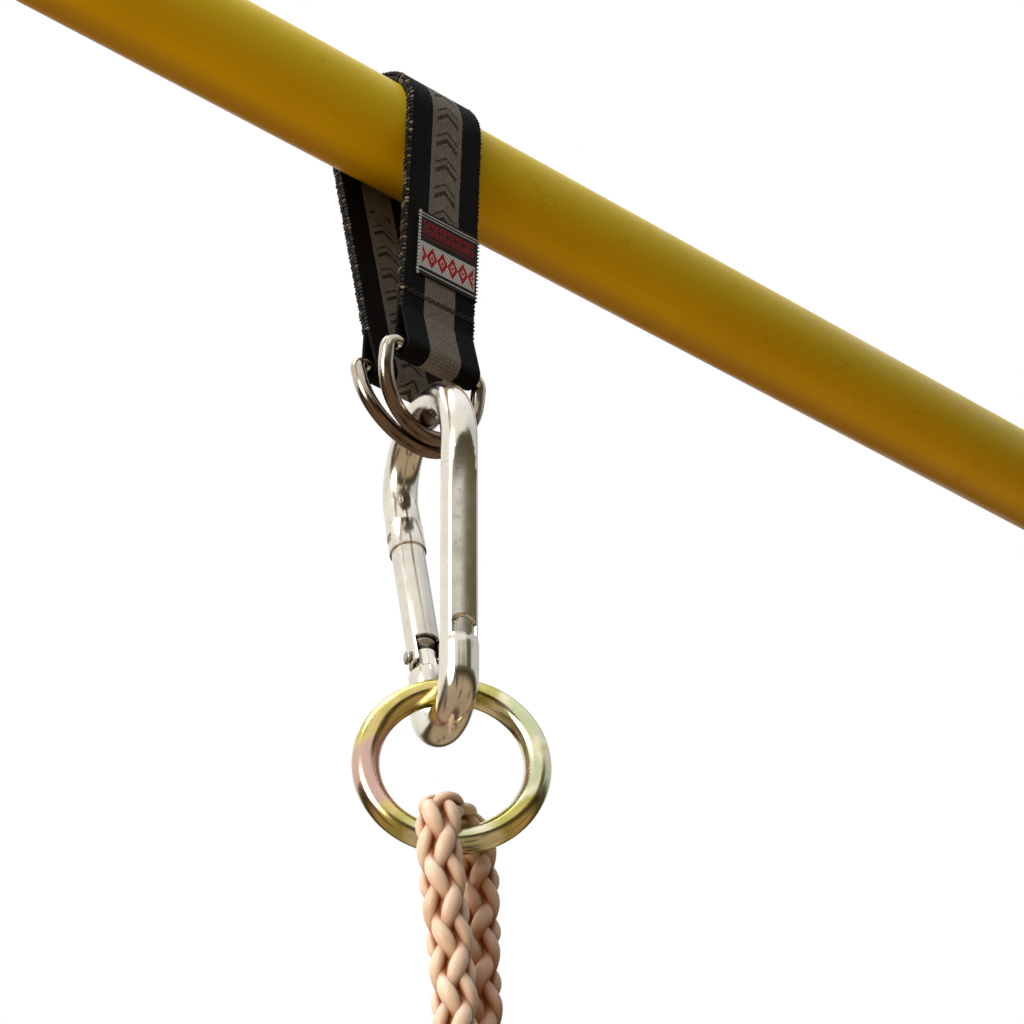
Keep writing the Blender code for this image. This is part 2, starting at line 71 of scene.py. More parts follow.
def calc(tree, operation, first, second=0.0, third=0.0, clamp=False):
    inputs = {0: first, 1: second, 2: third}
    if operation in ("SINE", "COSINE", "ABSOLUTE", "FRACT", "FLOOR", "SQRT"):
        inputs = {0: first}
    return put(tree, "ShaderNodeMath", inputs, operation=operation, use_clamp=clamp).outputs[0]


def mix(tree, share, first, second, kind="MIX"):
    """Two colours mixed by a share from 0 to 1."""
    inputs = {0: share, 6: first, 7: second}
    return put(tree, "ShaderNodeMix", inputs, data_type="RGBA", blend_type=kind).outputs[2]


def span(tree, value, low, high, to_low=0.0, to_high=1.0):
    """A value mapped smoothly from one range to another."""
    inputs = {"Value": value, "From Min": low, "From Max": high, "To Min": to_low, "To Max": to_high}
    return put(tree, "ShaderNodeMapRange", inputs, interpolation_type="SMOOTHSTEP").outputs[0]


def speckle(tree, place, scale, detail=4.0, roughness=0.55, distortion=0.0):
    inputs = {
        "Vector": place,
        "Scale": scale,
        "Detail": detail,
        "Roughness": roughness,
        "Distortion": distortion,
    }
    return put(tree, "ShaderNodeTexNoise", inputs).outputs["Fac"]


def stretched(tree, place, scale, turn=(0.0, 0.0, 0.0)):
    return put(tree, "ShaderNodeMapping", {"Vector": place, "Scale": scale, "Rotation": turn}).outputs[0]


def grey_of(tree, value):
    """A value as a grey colour."""
    return put(tree, "ShaderNodeCombineColor", {0: value, 1: value, 2: value}).outputs[0]


def own_map(tree):
    """The piece's own UV map, as its along and across values."""
    laid_out = put(tree, "ShaderNodeUVMap", uv_map="weave").outputs[0]
    return put(tree, "ShaderNodeSeparateXYZ", {0: laid_out}).outputs[:2]


def new_material(name):
    """An empty node material: its tree, its shader and its object coordinates."""
    made = bpy.data.materials.new(name)
    made.use_nodes = True
    tree = made.node_tree
    shader = tree.nodes["Principled BSDF"]
    place = put(tree, "ShaderNodeTexCoord").outputs["Object"]
    return made, tree, shader, place


def feed(tree, shader, **inputs):
    """Values and links for the shader's own sockets, underscores standing for spaces."""
    for name, value in inputs.items():
        socket = shader.inputs[name.replace("_", " ")]
        if isinstance(value, bpy.types.NodeSocket):
            tree.links.new(value, socket)
        else:
            socket.default_value = value


def bump(tree, height, strength, distance, below=None):
    inputs = {"Height": height, "Strength": strength, "Distance": distance}
    if below is not None:
        inputs["Normal"] = below
    return put(tree, "ShaderNodeBump", inputs).outputs[0]


def new_group(name, inputs, outputs):
    """A shader node group: its tree, its input sockets and its output node."""
    tree = bpy.data.node_groups.new(name, "ShaderNodeTree")
    for label, kind, value in inputs:
        socket = tree.interface.new_socket(label, in_out="INPUT", socket_type=kind)
        if value is not None:
            socket.default_value = value
    for label, kind in outputs:
        tree.interface.new_socket(label, in_out="OUTPUT", socket_type=kind)
    entry = tree.nodes.new("NodeGroupInput")
    leave = tree.nodes.new("NodeGroupOutput")
    return tree, entry.outputs, leave.inputs


def use_group(tree, group, inputs):
    made = tree.nodes.new("ShaderNodeGroup")
    made.node_tree = group
    for name, value in inputs.items():
        if isinstance(value, bpy.types.NodeSocket):
            tree.links.new(value, made.inputs[name])
        else:
            made.inputs[name].default_value = value
    return made.outputs


def dress(piece, material):
    piece.data.materials.clear()
    piece.data.materials.append(material)


# fine marks that handling leaves on paint and metal: long hairlines and small dull patches
handling, given, gives = new_group(
    "handling marks",
    [
        ("Place", "NodeSocketVector", None),
        ("Size", "NodeSocketFloat", 60.0),
        ("Length", "NodeSocketVector", (1.0, 1.0, 1.0)),
        ("Amount", "NodeSocketFloat", 0.5),
    ],
    [("Hairlines", "NodeSocketFloat"), ("Dull", "NodeSocketFloat")],
)
drawn_out = put(
    handling, "ShaderNodeVectorMath", {0: given["Place"], 1: given["Length"]}, operation="MULTIPLY"
).outputs[0]
wander = put(
    handling,
    "ShaderNodeTexNoise",
    {"Vector": drawn_out, "Scale": given["Size"], "Detail": 2.0},
)
bent = put(
    handling,
    "ShaderNodeVectorMath",
    {0: wander.outputs["Color"], 1: (0.006, 0.006, 0.006), 2: drawn_out},
    operation="MULTIPLY_ADD",
).outputs[0]
cells = put(
    handling,
    "ShaderNodeTexVoronoi",
    {"Vector": bent, "Scale": given["Size"]},
    feature="DISTANCE_TO_EDGE",
).outputs[0]
hairline = span(handling, cells, 0.0, 0.022, 1.0, 0.0)
patches = put(
    handling, "ShaderNodeTexNoise", {"Vector": given["Place"], "Scale": given["Size"], "Detail": 5.0}
).outputs["Fac"]
where = span(handling, patches, 0.54, 0.66)
kept = calc(handling, "MULTIPLY", calc(handling, "MULTIPLY", hairline, where), given["Amount"])
handling.links.new(kept, gives["Hairlines"])
handling.links.new(calc(handling, "MULTIPLY", where, given["Amount"]), gives["Dull"])

enamel, tree, shader, place = new_material("yellow_enamel")
marks = use_group(tree, handling, {"Place": place, "Size": 95.0, "Length": (0.35, 1.0, 1.0), "Amount": 0.5})
broad = speckle(tree, place, 14.0, 3.0)
paint = mix(tree, span(tree, broad, 0.3, 0.7), (0.76, 0.455, 0.0, 1.0), (0.83, 0.505, 0.0, 1.0))
# painted light: one side is painted lighter, towards lemon, as a painted highlight, and the underside is
# painted a deeper colour as painted shade
around = put(tree, "ShaderNodeSeparateXYZ", {0: place}).outputs
lit_side = calc(tree, "MULTIPLY_ADD", around[1], -58.0, calc(tree, "MULTIPLY", around[2], 12.0))
paint = mix(tree, span(tree, lit_side, 0.42, 1.0), paint, (0.78, 0.59, 0.025, 1.0))
paint = mix(tree, span(tree, lit_side, 0.15, -0.5), paint, (0.46, 0.245, 0.0, 1.0))
grime = speckle(tree, stretched(tree, place, (0.25, 1.0, 1.0)), 70.0, 6.0, 0.7)
paint = mix(tree, span(tree, grime, 0.60, 0.80, 0.0, 0.30), paint, (0.34, 0.16, 0.002, 1.0))
paint = mix(tree, calc(tree, "MULTIPLY", marks["Hairlines"], 0.40), paint, (0.10, 0.055, 0.01, 1.0))
ripple = speckle(tree, place, 210.0, 2.0, 0.5)
slow = speckle(tree, stretched(tree, place, (0.3, 1.0, 1.0)), 45.0, 2.0)
relief = bump(tree, slow, 0.25, 0.0012)
relief = bump(tree, ripple, 0.10, 0.0004, relief)
relief = bump(tree, calc(tree, "MULTIPLY", marks["Hairlines"], -1.0), 0.25, 0.0002, relief)
rough = span(tree, grime, 0.35, 0.75, 0.30, 0.46)
feed(
    tree,
    shader,
    Base_Color=paint,
    Roughness=calc(tree, "ADD", rough, calc(tree, "MULTIPLY", marks["Dull"], 0.12)),
    Normal=relief,
    Specular_IOR_Level=0.13,
)

# the tube is a fine open cylinder, given its wall inwards and a small break on its sawn rims
bar_low, bar_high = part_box("crossbar_tube")
bpy.ops.object.select_all(action="DESELECT")
bpy.ops.mesh.primitive_cylinder_add(
    vertices=144,
    radius=BAR_RADIUS,
    depth=bar_high.x - bar_low.x,
    end_fill_type="NOTHING",
    location=((bar_low.x + bar_high.x) / 2.0, 0.0, 0.0),
    rotation=(0.0, math.radians(90.0), 0.0),
)
bar = bpy.context.object
bar.name = "painted_crossbar"


def finish_piece(piece, angle, **modifiers):
    """Modifiers applied in turn, its place put into its mesh, then smoothed."""
    bpy.ops.object.select_all(action="DESELECT")
    bpy.context.view_layer.objects.active = piece
    piece.select_set(True)
    bpy.ops.object.transform_apply(location=True, rotation=True, scale=True)
    for kind, settings in modifiers.items():
        added = piece.modifiers.new(kind, kind)
        for setting, value in settings.items():
            setattr(added, setting, value)
        bpy.ops.object.modifier_apply(modifier=added.name)
    piece.data.shade_smooth()
    piece.data.set_sharp_from_angle(angle=math.radians(angle))
    return piece


finish_piece(
    bar,
    40.0,
    SOLIDIFY={"thickness": BAR_WALL, "offset": -1.0},
    BEVEL={"width": 0.35 * MM, "segments": 2, "limit_method": "ANGLE", "angle_limit": math.radians(50.0)},
)
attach(bar, "bar")
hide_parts("crossbar_tube")
dress(bar, enamel)


# ---- strap ----
# One endless band of 30 mm polyester webbing, woven black with a grey centre stripe, pressed to two
# plies and laid over the bar. Each end is an eye round a D-ring's straight side. The plies are
# overlocked together along both edges with a brown and straw thread, and the eyes are sewn across.
PLY = 1.6 * MM
HALF_GAP = 0.1 * MM
LEG_RADIUS = BAR_RADIUS + 0.15 * MM + PLY + HALF_GAP
PLY_MID = PLY / 2.0 + HALF_GAP
STRAP_HALF = 14.75 * MM
PINCH = Vector((8.0 * MM, -78.0 * MM))
EYE = Vector((7.6 * MM, -92.4 * MM))
EYE_TURN = 3.4 * MM
STRIPE_HALF = 6.3 * MM
WEB_HALF = 13.9 * MM
SELVAGE = 0.85 * MM
SAW_PITCH = 1.24 * MM


def arc(centre, radius, start, end, count):
    found = []
    for step in range(count + 1):
        turn = start + (end - start) * step / count
        found.append(Vector((centre[0] + radius * math.cos(turn), centre[1] + radius * math.sin(turn))))
    return found


def touch_angle(centre, radius, point, side):
    """Where on a circle the line from an outside point touches it."""
    away = point - Vector(centre)
    return math.atan2(away.y, away.x) + side * math.acos(radius / away.length)


LEG_TOUCH = touch_angle((0.0, 0.0), LEG_RADIUS, PINCH, 1)
LEG_TOP = Vector((math.cos(LEG_TOUCH), math.sin(LEG_TOUCH))) * LEG_RADIUS
LEG_DOWN = (PINCH - LEG_TOP).normalized()
LEG_OUT = Vector((-LEG_DOWN.y, LEG_DOWN.x))


def half_ply(offset):
    """Half of a ply, from the top of the bar to the pinch above the eye, in (Y, Z)."""
    found = arc((0.0, 0.0), LEG_RADIUS + offset, math.radians(90.0), LEG_TOUCH, 60)
    last = PINCH + LEG_OUT * offset
    start = found[-1]
    for step in range(1, 41):
        found.append(start.lerp(last, step / 40))
    return found


def even_steps(points, step, closed=False):
    """The same line with points a step apart, and each point's distance along it."""
    line = list(points) + ([points[0]] if closed else [])
    along = [0.0]
    for first, second in zip(line, line[1:]):
        along.append(along[-1] + (second - first).length)
    count = round(along[-1] / step)
    found = []
    index = 0
    for number in range(count if closed else count + 1):
        target = along[-1] * number / count
        while index < len(along) - 2 and along[index + 1] < target:
            index += 1
        gap = max(1e-12, along[index + 1] - along[index])
        found.append((line[index].lerp(line[index + 1], (target - along[index]) / gap), target))
    return found, along[-1]


outer = half_ply(PLY_MID)
inner = half_ply(-PLY_MID)
eye_start = touch_angle(EYE, EYE_TURN, outer[-1], -1)
eye_end = touch_angle(EYE, EYE_TURN, inner[-1], 1)
while eye_end > eye_start:
    eye_end -= 2.0 * math.pi
one_half = outer + arc(EYE, EYE_TURN, eye_start, eye_end, 60) + inner[::-1]
other_half = [Vector((-point.x, point.y)) for point in one_half]
band_line, band_length = even_steps(one_half + other_half[::-1][1:-1], 0.31 * MM, closed=True)

# the band's cross-section: across the width and through the thickness, with soft selvages
section = []
for index in range(13):
    section.append((-WEB_HALF + 2.0 * WEB_HALF * index / 12, PLY / 2.0))
for index in range(1, 6):
    turn = math.pi * (0.5 - index / 6)
    section.append((WEB_HALF + SELVAGE * math.cos(turn), PLY / 2.0 * math.sin(turn)))
section += [(-across, -through) for across, through in section]

band_points = []
band_faces = []
band_uv = []
count = len(band_line)
for index, (point, distance) in enumerate(band_line):
    ahead = band_line[(index + 1) % count][0] - band_line[index - 1][0]
    out = Vector((-ahead.y, ahead.x)).normalized()
    saw = math.sin(2.0 * math.pi * distance / SAW_PITCH)
    for across, through in section:
        edge = max(0.0, abs(across) - 13.4 * MM) / (1.35 * MM)
        wide = across + math.copysign(0.11 * MM * saw * min(1.0, edge), across)
        pull = noise.noise(Vector((distance * 45.0, across * 60.0, 1.7))) * 0.07 * MM
        spot = point + out * (through * (1.0 - 0.12 * edge * (1.0 + saw)) + pull)
        band_points.append((wide, spot.x, spot.y))
size = len(section)
for index in range(count):
    after = (index + 1) % count
    for side in range(size):
        near = (side + 1) % size
        here, there = index * size, after * size
        band_faces.append((here + side, here + near, there + near, there + side))
        low = band_line[index][1]
        high = band_line[index + 1][1] if index + 1 < count else band_length
        band_uv.append((low, section[side][0]))
        band_uv.append((low, section[near][0]))
        band_uv.append((high, section[near][0]))
        band_uv.append((high, section[side][0]))


def solid(name, points, faces, uv=None, tone=None, body=None, angle=None):
    """A mesh piece from points and faces, its faces outwards, smooth, riding on its body."""
    mesh = bpy.data.meshes.new(name)
    mesh.from_pydata([tuple(point) for point in points], [], faces)
    if uv is not None:
        layer = mesh.uv_layers.new(name="weave")
        for index, value in enumerate(uv):
            layer.data[index].uv = value
    if tone is not None:
        attribute = mesh.attributes.new("tone", "FLOAT", "POINT")
        attribute.data.foreach_set("value", tone)
    work = bmesh.new()
    work.from_mesh(mesh)
    bmesh.ops.recalc_face_normals(work, faces=work.faces)
    work.to_mesh(mesh)
    work.free()
    mesh.shade_smooth()
    if angle is not None:
        mesh.set_sharp_from_angle(angle=math.radians(angle))
    made = bpy.data.objects.new(name, mesh)
    bpy.context.scene.collection.objects.link(made)
    if body is not None:
        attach(made, body)
    return made


strap = solid("strap_band", band_points, band_faces, band_uv, body="strap")

# plain weave on a piece's own UV map, in metres along and across
weave, given, gives = new_group(
    "plain weave",
    [
        ("Along", "NodeSocketFloat", 0.0),
        ("Across", "NodeSocketFloat", 0.0),
        ("Weft", "NodeSocketFloat", 0.0009),
        ("Warp", "NodeSocketFloat", 0.0008),
    ],
    [("Height", "NodeSocketFloat"), ("Warp Over", "NodeSocketFloat"), ("Yarn", "NodeSocketFloat")],
)
row = calc(weave, "DIVIDE", given["Along"], given["Weft"])
column = calc(weave, "DIVIDE", given["Across"], given["Warp"])
row_round = calc(weave, "ABSOLUTE", calc(weave, "SINE", calc(weave, "MULTIPLY", row, math.pi)))
column_round = calc(weave, "ABSOLUTE", calc(weave, "SINE", calc(weave, "MULTIPLY", column, math.pi)))
number = calc(weave, "ADD", calc(weave, "FLOOR", row), calc(weave, "FLOOR", column))
over = calc(weave, "FLOORED_MODULO", number, 2.0)
warp_high = calc(weave, "MULTIPLY", column_round, calc(weave, "MULTIPLY_ADD", row_round, 0.5, 0.5))
weft_high = calc(weave, "MULTIPLY", row_round, calc(weave, "MULTIPLY_ADD", column_round, 0.4, 0.3))
lift = calc(
    weave,
    "ADD",
    calc(weave, "MULTIPLY", warp_high, over),
    calc(weave, "MULTIPLY", weft_high, calc(weave, "SUBTRACT", 1.0, over)),
)
yarn_cell = put(
    weave,
    "ShaderNodeCombineXYZ",
    {0: calc(weave, "FLOOR", row), 1: calc(weave, "FLOOR", column), 2: 0.0},
).outputs[0]
yarn_tone = put(weave, "ShaderNodeTexWhiteNoise", {"Vector": yarn_cell}).outputs["Value"]
weave.links.new(lift, gives["Height"])
weave.links.new(over, gives["Warp Over"])
weave.links.new(yarn_tone, gives["Yarn"])

webbing, tree, shader, place = new_material("webbing")
along, across = own_map(tree)
cloth = use_group(tree, weave, {"Along": along, "Across": across, "Weft": 0.00092, "Warp": 0.00078})
wide = calc(tree, "ABSOLUTE", across)
ragged = calc(tree, "MULTIPLY", calc(tree, "SUBTRACT", cloth["Yarn"], 0.5), 0.00025)
in_stripe = span(tree, calc(tree, "ADD", wide, ragged), STRIPE_HALF + 0.1 * MM, STRIPE_HALF - 0.1 * MM)
# printed on the stripe: a plain row of chevrons, each a thick and a thin arm
turned = calc(tree, "MULTIPLY_ADD", wide, 0.75, along)
rank = calc(tree, "FRACT", calc(tree, "DIVIDE", turned, 10.0 * MM))
thick_arm = calc(tree, "MULTIPLY", span(tree, rank, 0.0, 0.02), span(tree, rank, 0.19, 0.17))
thin_arm = calc(tree, "MULTIPLY", span(tree, rank, 0.36, 0.38), span(tree, rank, 0.46, 0.44))
arms = calc(tree, "MAXIMUM", thick_arm, thin_arm)
printed = calc(tree, "MULTIPLY", arms, span(tree, wide, 4.5 * MM, 4.3 * MM))
# the print leaves plain lengths: over the front eye, and at the top of the back leg's inner ply
TOP_RUN = LEG_RADIUS * (math.radians(90.0) - LEG_TOUCH)
front_print = span(tree, along, band_length - TOP_RUN - 66.0 * MM, band_length - TOP_RUN - 65.5 * MM)
back_print = calc(
    tree,
    "MULTIPLY",
    span(tree, along, 88.0 * MM, 88.5 * MM),
    span(tree, along, band_length / 2.0 - TOP_RUN - 15.0 * MM, band_length / 2.0 - TOP_RUN - 15.5 * MM),
)
printed = calc(tree, "MULTIPLY", printed, calc(tree, "MAXIMUM", front_print, back_print))
faded = speckle(tree, place, 900.0, 3.0)
printed = calc(tree, "MULTIPLY", printed, span(tree, faded, 0.25, 0.60, 0.55, 1.0))
black = mix(tree, cloth["Yarn"], (0.0028, 0.0030, 0.0036, 1.0), (0.0072, 0.0075, 0.0085, 1.0))
grey = mix(tree, cloth["Yarn"], (0.205, 0.184, 0.160, 1.0), (0.285, 0.257, 0.226, 1.0))
grey = mix(tree, printed, grey, (0.046, 0.034, 0.029, 1.0))
colour = mix(tree, in_stripe, black, grey)
shadow = span(tree, cloth["Height"], 0.0, 0.6, 0.45, 1.0)
colour = mix(tree, 1.0, colour, grey_of(tree, shadow), "MULTIPLY")
dust = span(tree, speckle(tree, place, 60.0, 6.0, 0.7), 0.50, 0.85, 0.0, 0.06)
colour = mix(tree, dust, colour, (0.10, 0.085, 0.07, 1.0))
fuzz = speckle(tree, place, 2600.0, 2.0)
relief = bump(tree, cloth["Height"], 0.85, 0.00022)
relief = bump(tree, fuzz, 0.25, 0.00008, relief)
feed(
    tree,
    shader,
    Base_Color=colour,
    Roughness=span(tree, cloth["Yarn"], 0.0, 1.0, 0.62, 0.80),
    Normal=relief,
    Specular_IOR_Level=0.08,
)
dress(strap, webbing)
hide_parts("strap_webbing")


# ---- the strap's thread ----
# The two plies are held together by an overlocked edge: short slanting stitches of mottled brown and
# straw thread, two ranks to each edge. Above each D-ring a double row of black thread is sewn
# straight across the band, and closes the eye.
mid_steps, MID_LENGTH = even_steps(half_ply(0.0), 0.2 * MM)


def on_strap(distance):
    """A point of the mid-line, its way down and its outward side; the front leg's distances are negative."""
    side = -1.0 if distance < 0.0 else 1.0
    share = min(1.0, abs(distance) / MID_LENGTH) * (len(mid_steps) - 1)
    low = min(int(share), len(mid_steps) - 2)
    first, second = mid_steps[low][0], mid_steps[low + 1][0]
    point = first.lerp(second, share - low)
    down = (second - first).normalized()
    spot = Vector((0.0, side * point.x, point.y))
    way = Vector((0.0, side * down.x, down.y))
    out = Vector((0.0, -side * down.y, down.x))
    return spot, way, out


def one_of(primitive, **settings):
    """A primitive's points and faces, as the pattern for many copies; the primitive itself goes."""
    bpy.ops.object.select_all(action="DESELECT")
    primitive(**settings)
    made = bpy.context.object
    points = [vertex.co.copy() for vertex in made.data.vertices]
    faces = [tuple(polygon.vertices) for polygon in made.data.polygons]
    bpy.data.objects.remove(made, do_unlink=True)
    return points, faces


def many(name, pattern, places, body, tones=None):
    """The pattern once at each place, in one mesh, each copy with its own tone."""
    points, faces, tone = [], [], []
    for index, matrix in enumerate(places):
        base = len(points)
        points += [matrix @ point for point in pattern[0]]
        faces += [tuple(base + corner for corner in face) for face in pattern[1]]
        value = tones[index] if tones else noise.random()
        tone += [value] * len(pattern[0])
    return solid(name, points, faces, tone=tone, body=body)


def laid(spot, long_way, up_way, size):
    """A matrix that lays a unit ball at a spot, long one way and flat another."""
    first = long_way.normalized()
    third = (up_way - first * up_way.dot(first)).normalized()
    second = third.cross(first)
    turn = Matrix((first, second, third)).transposed().to_4x4()
    return Matrix.Translation(spot) @ turn @ Matrix.Diagonal((size[0], size[1], size[2], 1.0))


noise.seed_set(7)
bead = one_of(bpy.ops.mesh.primitive_uv_sphere_add, segments=8, ring_count=5, radius=1.0)
LABEL_TOP = 39.0 * MM
LABEL_HEIGHT = 23.5 * MM
edge_places = []
edge_tones = []
STITCH = 1.45 * MM
edge_count = int(MID_LENGTH / STITCH)
for edge in (-1.0, 1.0):
    for number in range(-edge_count, edge_count + 1):
        distance = number * STITCH
        down_leg = -distance - TOP_RUN
        covered = LABEL_TOP - 1.0 * MM < down_leg < LABEL_TOP + LABEL_HEIGHT + 1.0 * MM
        if edge > 0.0 and covered:
            continue
        spot, way, out = on_strap(distance)
        across = Vector((edge, 0.0, 0.0))
        for rank in (-1.0, 1.0):
            middle = spot + out * (rank * 0.84 * MM) + across * (STRAP_HALF - 0.20 * MM)
            slant = out * rank + way * (0.45 + 0.5 * noise.random())
            jitter = way * (0.55 * MM * (noise.random() - 0.5)) + out * (0.3 * MM * (noise.random() - 0.5))
            full = 0.8 + 0.4 * noise.random()
            edge_places.append(
                laid(middle + jitter, slant, across, (1.14 * MM * full, 0.58 * MM, 0.30 * MM * full))
            )
            edge_tones.append(noise.random())
edge_thread = many("strap_edge_stitches", bead, edge_places, "strap", edge_tones)

mottled, tree, shader, place = new_material("mottled_thread")
tone = put(tree, "ShaderNodeAttribute", attribute_name="tone").outputs["Fac"]
straw = mix(tree, span(tree, tone, 0.62, 0.86), (0.0085, 0.0075, 0.006, 1.0), (0.13, 0.10, 0.06, 1.0))
straw = mix(tree, span(tree, tone, 0.86, 0.99), straw, (0.30, 0.25, 0.17, 1.0))
fibre = speckle(tree, place, 3200.0, 3.0)
straw = mix(tree, span(tree, fibre, 0.35, 0.65, 0.0, 0.35), straw, (0.012, 0.011, 0.010, 1.0))
feed(
    tree,
    shader,
    Base_Color=straw,
    Roughness=span(tree, fibre, 0.3, 0.7, 0.42, 0.62),
    Normal=bump(tree, fibre, 0.5, 0.00012),
    Specular_IOR_Level=0.15,
)
dress(edge_thread, mottled)

black_thread, tree, shader, place = new_material("black_thread")
fibre = speckle(tree, place, 3000.0, 3.0)
ink = mix(tree, span(tree, fibre, 0.3, 0.7), (0.004, 0.004, 0.005, 1.0), (0.020, 0.020, 0.022, 1.0))
feed(
    tree,
    shader,
    Base_Color=ink,
    Roughness=span(tree, fibre, 0.3, 0.7, 0.45, 0.65),
    Normal=bump(tree, fibre, 0.5, 0.00012),
)
TACK_DROP = 70.0 * MM
TACKS = 13
TACK_PITCH = 2.2 * MM
for side, name in ((-1.0, "front_eye"), (1.0, "back_eye")):
    tack_places = []
    spot, way, out = on_strap(side * (TOP_RUN + TACK_DROP))
    for rank in (-0.45 * MM, 0.45 * MM):
        for number in range(TACKS):
            sideways = (number - TACKS // 2) * TACK_PITCH + (0.5 * MM if rank > 0.0 else -0.5 * MM)
            top = spot + out * (PLY + HALF_GAP + 0.12 * MM) + way * rank + Vector((sideways, 0.0, 0.0))
            slant = Vector((1.0, 0.0, 0.0)) + way * 0.10
            tack_places.append(laid(top, slant, out, (1.05 * MM, 0.30 * MM, 0.30 * MM)))
    tack = many(name + "_thread", bead, tack_places, "strap")
    dress(tack, black_thread)
    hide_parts(name + "_stitching")


# ---- label ----
# A woven damask label folded round the front leg's right edge and sewn down with the overlock. It is
# black above with a dark red woven band, and white below with a row of red lozenges, inside fine
# white border lines. The side edges are whipped with white thread.
LEG_HALF = PLY + HALF_GAP
LABEL_LEFT = -10.5 * MM
LABEL_OFF = LEG_HALF + 0.32 * MM
LABEL_RIGHT = STRAP_HALF + 0.32 * MM
FOLD = 1.5 * MM
fold_line = [Vector((LABEL_LEFT, LABEL_OFF))]
fold_line += arc((LABEL_RIGHT - FOLD, LABEL_OFF - FOLD), FOLD, math.radians(90.0), 0.0, 8)
fold_line += arc((LABEL_RIGHT - FOLD, -LABEL_OFF + FOLD), FOLD, 0.0, math.radians(-90.0), 8)
fold_line += [Vector((LABEL_LEFT, -LABEL_OFF))]
fold_steps, fold_length = even_steps(fold_line, 0.6 * MM)
leg_start = Vector((0.0, -LEG_TOP.x, LEG_TOP.y))
leg_down = Vector((0.0, -LEG_DOWN.x, LEG_DOWN.y))
leg_out = Vector((0.0, -LEG_OUT.x, LEG_OUT.y))
ROWS = 40
label_points = []
label_faces = []
label_uv = []
for row_number in range(ROWS + 1):
    drop = LABEL_HEIGHT * row_number / ROWS
    for spot, distance in fold_steps:
        wave = noise.noise(Vector((spot.x * 130.0, drop * 130.0, 4.0))) * 0.10 * MM
        curl = 0.25 * MM * max(0.0, 1.0 - drop / (2.0 * MM)) * (distance < 26.0 * MM)
        lift_off = math.copysign(wave + curl, spot.y) if abs(spot.y) > 0.6 * MM else 0.0
        here = leg_start + leg_down * (LABEL_TOP + drop) + leg_out * (spot.y + lift_off)
        label_points.append(here + Vector((spot.x, 0.0, 0.0)))
wide_count = len(fold_steps)
for row_number in range(ROWS):
    for index in range(wide_count - 1):
        corner = row_number * wide_count + index
        label_faces.append((corner, corner + 1, corner + wide_count + 1, corner + wide_count))
        high, low = LABEL_HEIGHT * row_number / ROWS, LABEL_HEIGHT * (row_number + 1) / ROWS
        left, right = fold_steps[index][1], fold_steps[index + 1][1]
        label_uv += [(left, high), (right, high), (right, low), (left, low)]
label = solid("woven_label_cloth", label_points, label_faces, label_uv)
thicken = label.modifiers.new("Thickness", "SOLIDIFY")
thicken.thickness = 0.36 * MM
thicken.offset = 0.0
bpy.ops.object.select_all(action="DESELECT")
bpy.context.view_layer.objects.active = label
label.select_set(True)
bpy.ops.object.modifier_apply(modifier=thicken.name)
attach(label, "strap")

damask, tree, shader, place = new_material("damask_label")
right_way, down_way = own_map(tree)
cloth = use_group(tree, weave, {"Along": down_way, "Across": right_way, "Weft": 0.00034, "Warp": 0.00042})
FRONT_WIDE = 25.2 * MM


def between(value, low, high, soft=0.06 * MM):
    """One where a value lies between two others, with soft ends."""
    above = span(tree, value, low - soft, low + soft)
    return calc(tree, "MULTIPLY", above, span(tree, value, high + soft, high - soft))


def repeat(value, pitch, shift=0.0):
    """The distance to the middle of the nearest repeat."""
    turned_value = calc(tree, "FRACT", calc(tree, "DIVIDE", calc(tree, "ADD", value, shift), pitch))
    return calc(tree, "MULTIPLY", calc(tree, "ABSOLUTE", calc(tree, "SUBTRACT", turned_value, 0.5)), pitch)


on_front = between(right_way, 0.0, FRONT_WIDE)
colour = mix(tree, cloth["Yarn"], (0.004, 0.004, 0.005, 1.0), (0.011, 0.011, 0.012, 1.0))
# upper field: a dark red band of small blocks, and a thin line under it
blocks = calc(
    tree,
    "MULTIPLY",
    between(down_way, 3.2 * MM, 8.0 * MM),
    calc(tree, "LESS_THAN", repeat(right_way, 1.7 * MM), 0.66 * MM),
)
notch = calc(
    tree,
    "MULTIPLY",
    calc(tree, "LESS_THAN", repeat(right_way, 3.4 * MM), 0.9 * MM),
    between(down_way, 4.9 * MM, 6.0 * MM),
)
red_band = calc(tree, "MULTIPLY", blocks, calc(tree, "SUBTRACT", 1.0, notch))
red_band = calc(tree, "MAXIMUM", red_band, between(down_way, 8.9 * MM, 9.3 * MM))
red_band = calc(tree, "MULTIPLY", red_band, between(right_way, 1.8 * MM, 23.2 * MM))
colour = mix(tree, calc(tree, "MULTIPLY", red_band, 0.9), colour, (0.30, 0.007, 0.008, 1.0))
# lower field: white hatched ground, with a row of red lozenges
hatch = repeat(calc(tree, "MULTIPLY_ADD", down_way, 0.5, right_way), 0.84 * MM)
white_cloth = mix(
    tree, calc(tree, "LESS_THAN", hatch, 0.13 * MM), (0.86, 0.87, 0.90, 1.0), (0.24, 0.24, 0.25, 1.0)
)
lower_field = calc(
    tree, "MULTIPLY", between(down_way, 11.2 * MM, 20.4 * MM), between(right_way, 0.9 * MM, 24.0 * MM)
)
colour = mix(tree, lower_field, colour, white_cloth)
lozenge = calc(
    tree,
    "ADD",
    calc(tree, "MULTIPLY", repeat(right_way, 4.3 * MM, 0.35 * MM), 1.75),
    calc(tree, "ABSOLUTE", calc(tree, "SUBTRACT", down_way, 15.9 * MM)),
)
ring_of_red = between(lozenge, 1.75 * MM, 3.9 * MM)
ring_of_red = calc(tree, "MAXIMUM", ring_of_red, calc(tree, "LESS_THAN", lozenge, 0.95 * MM))
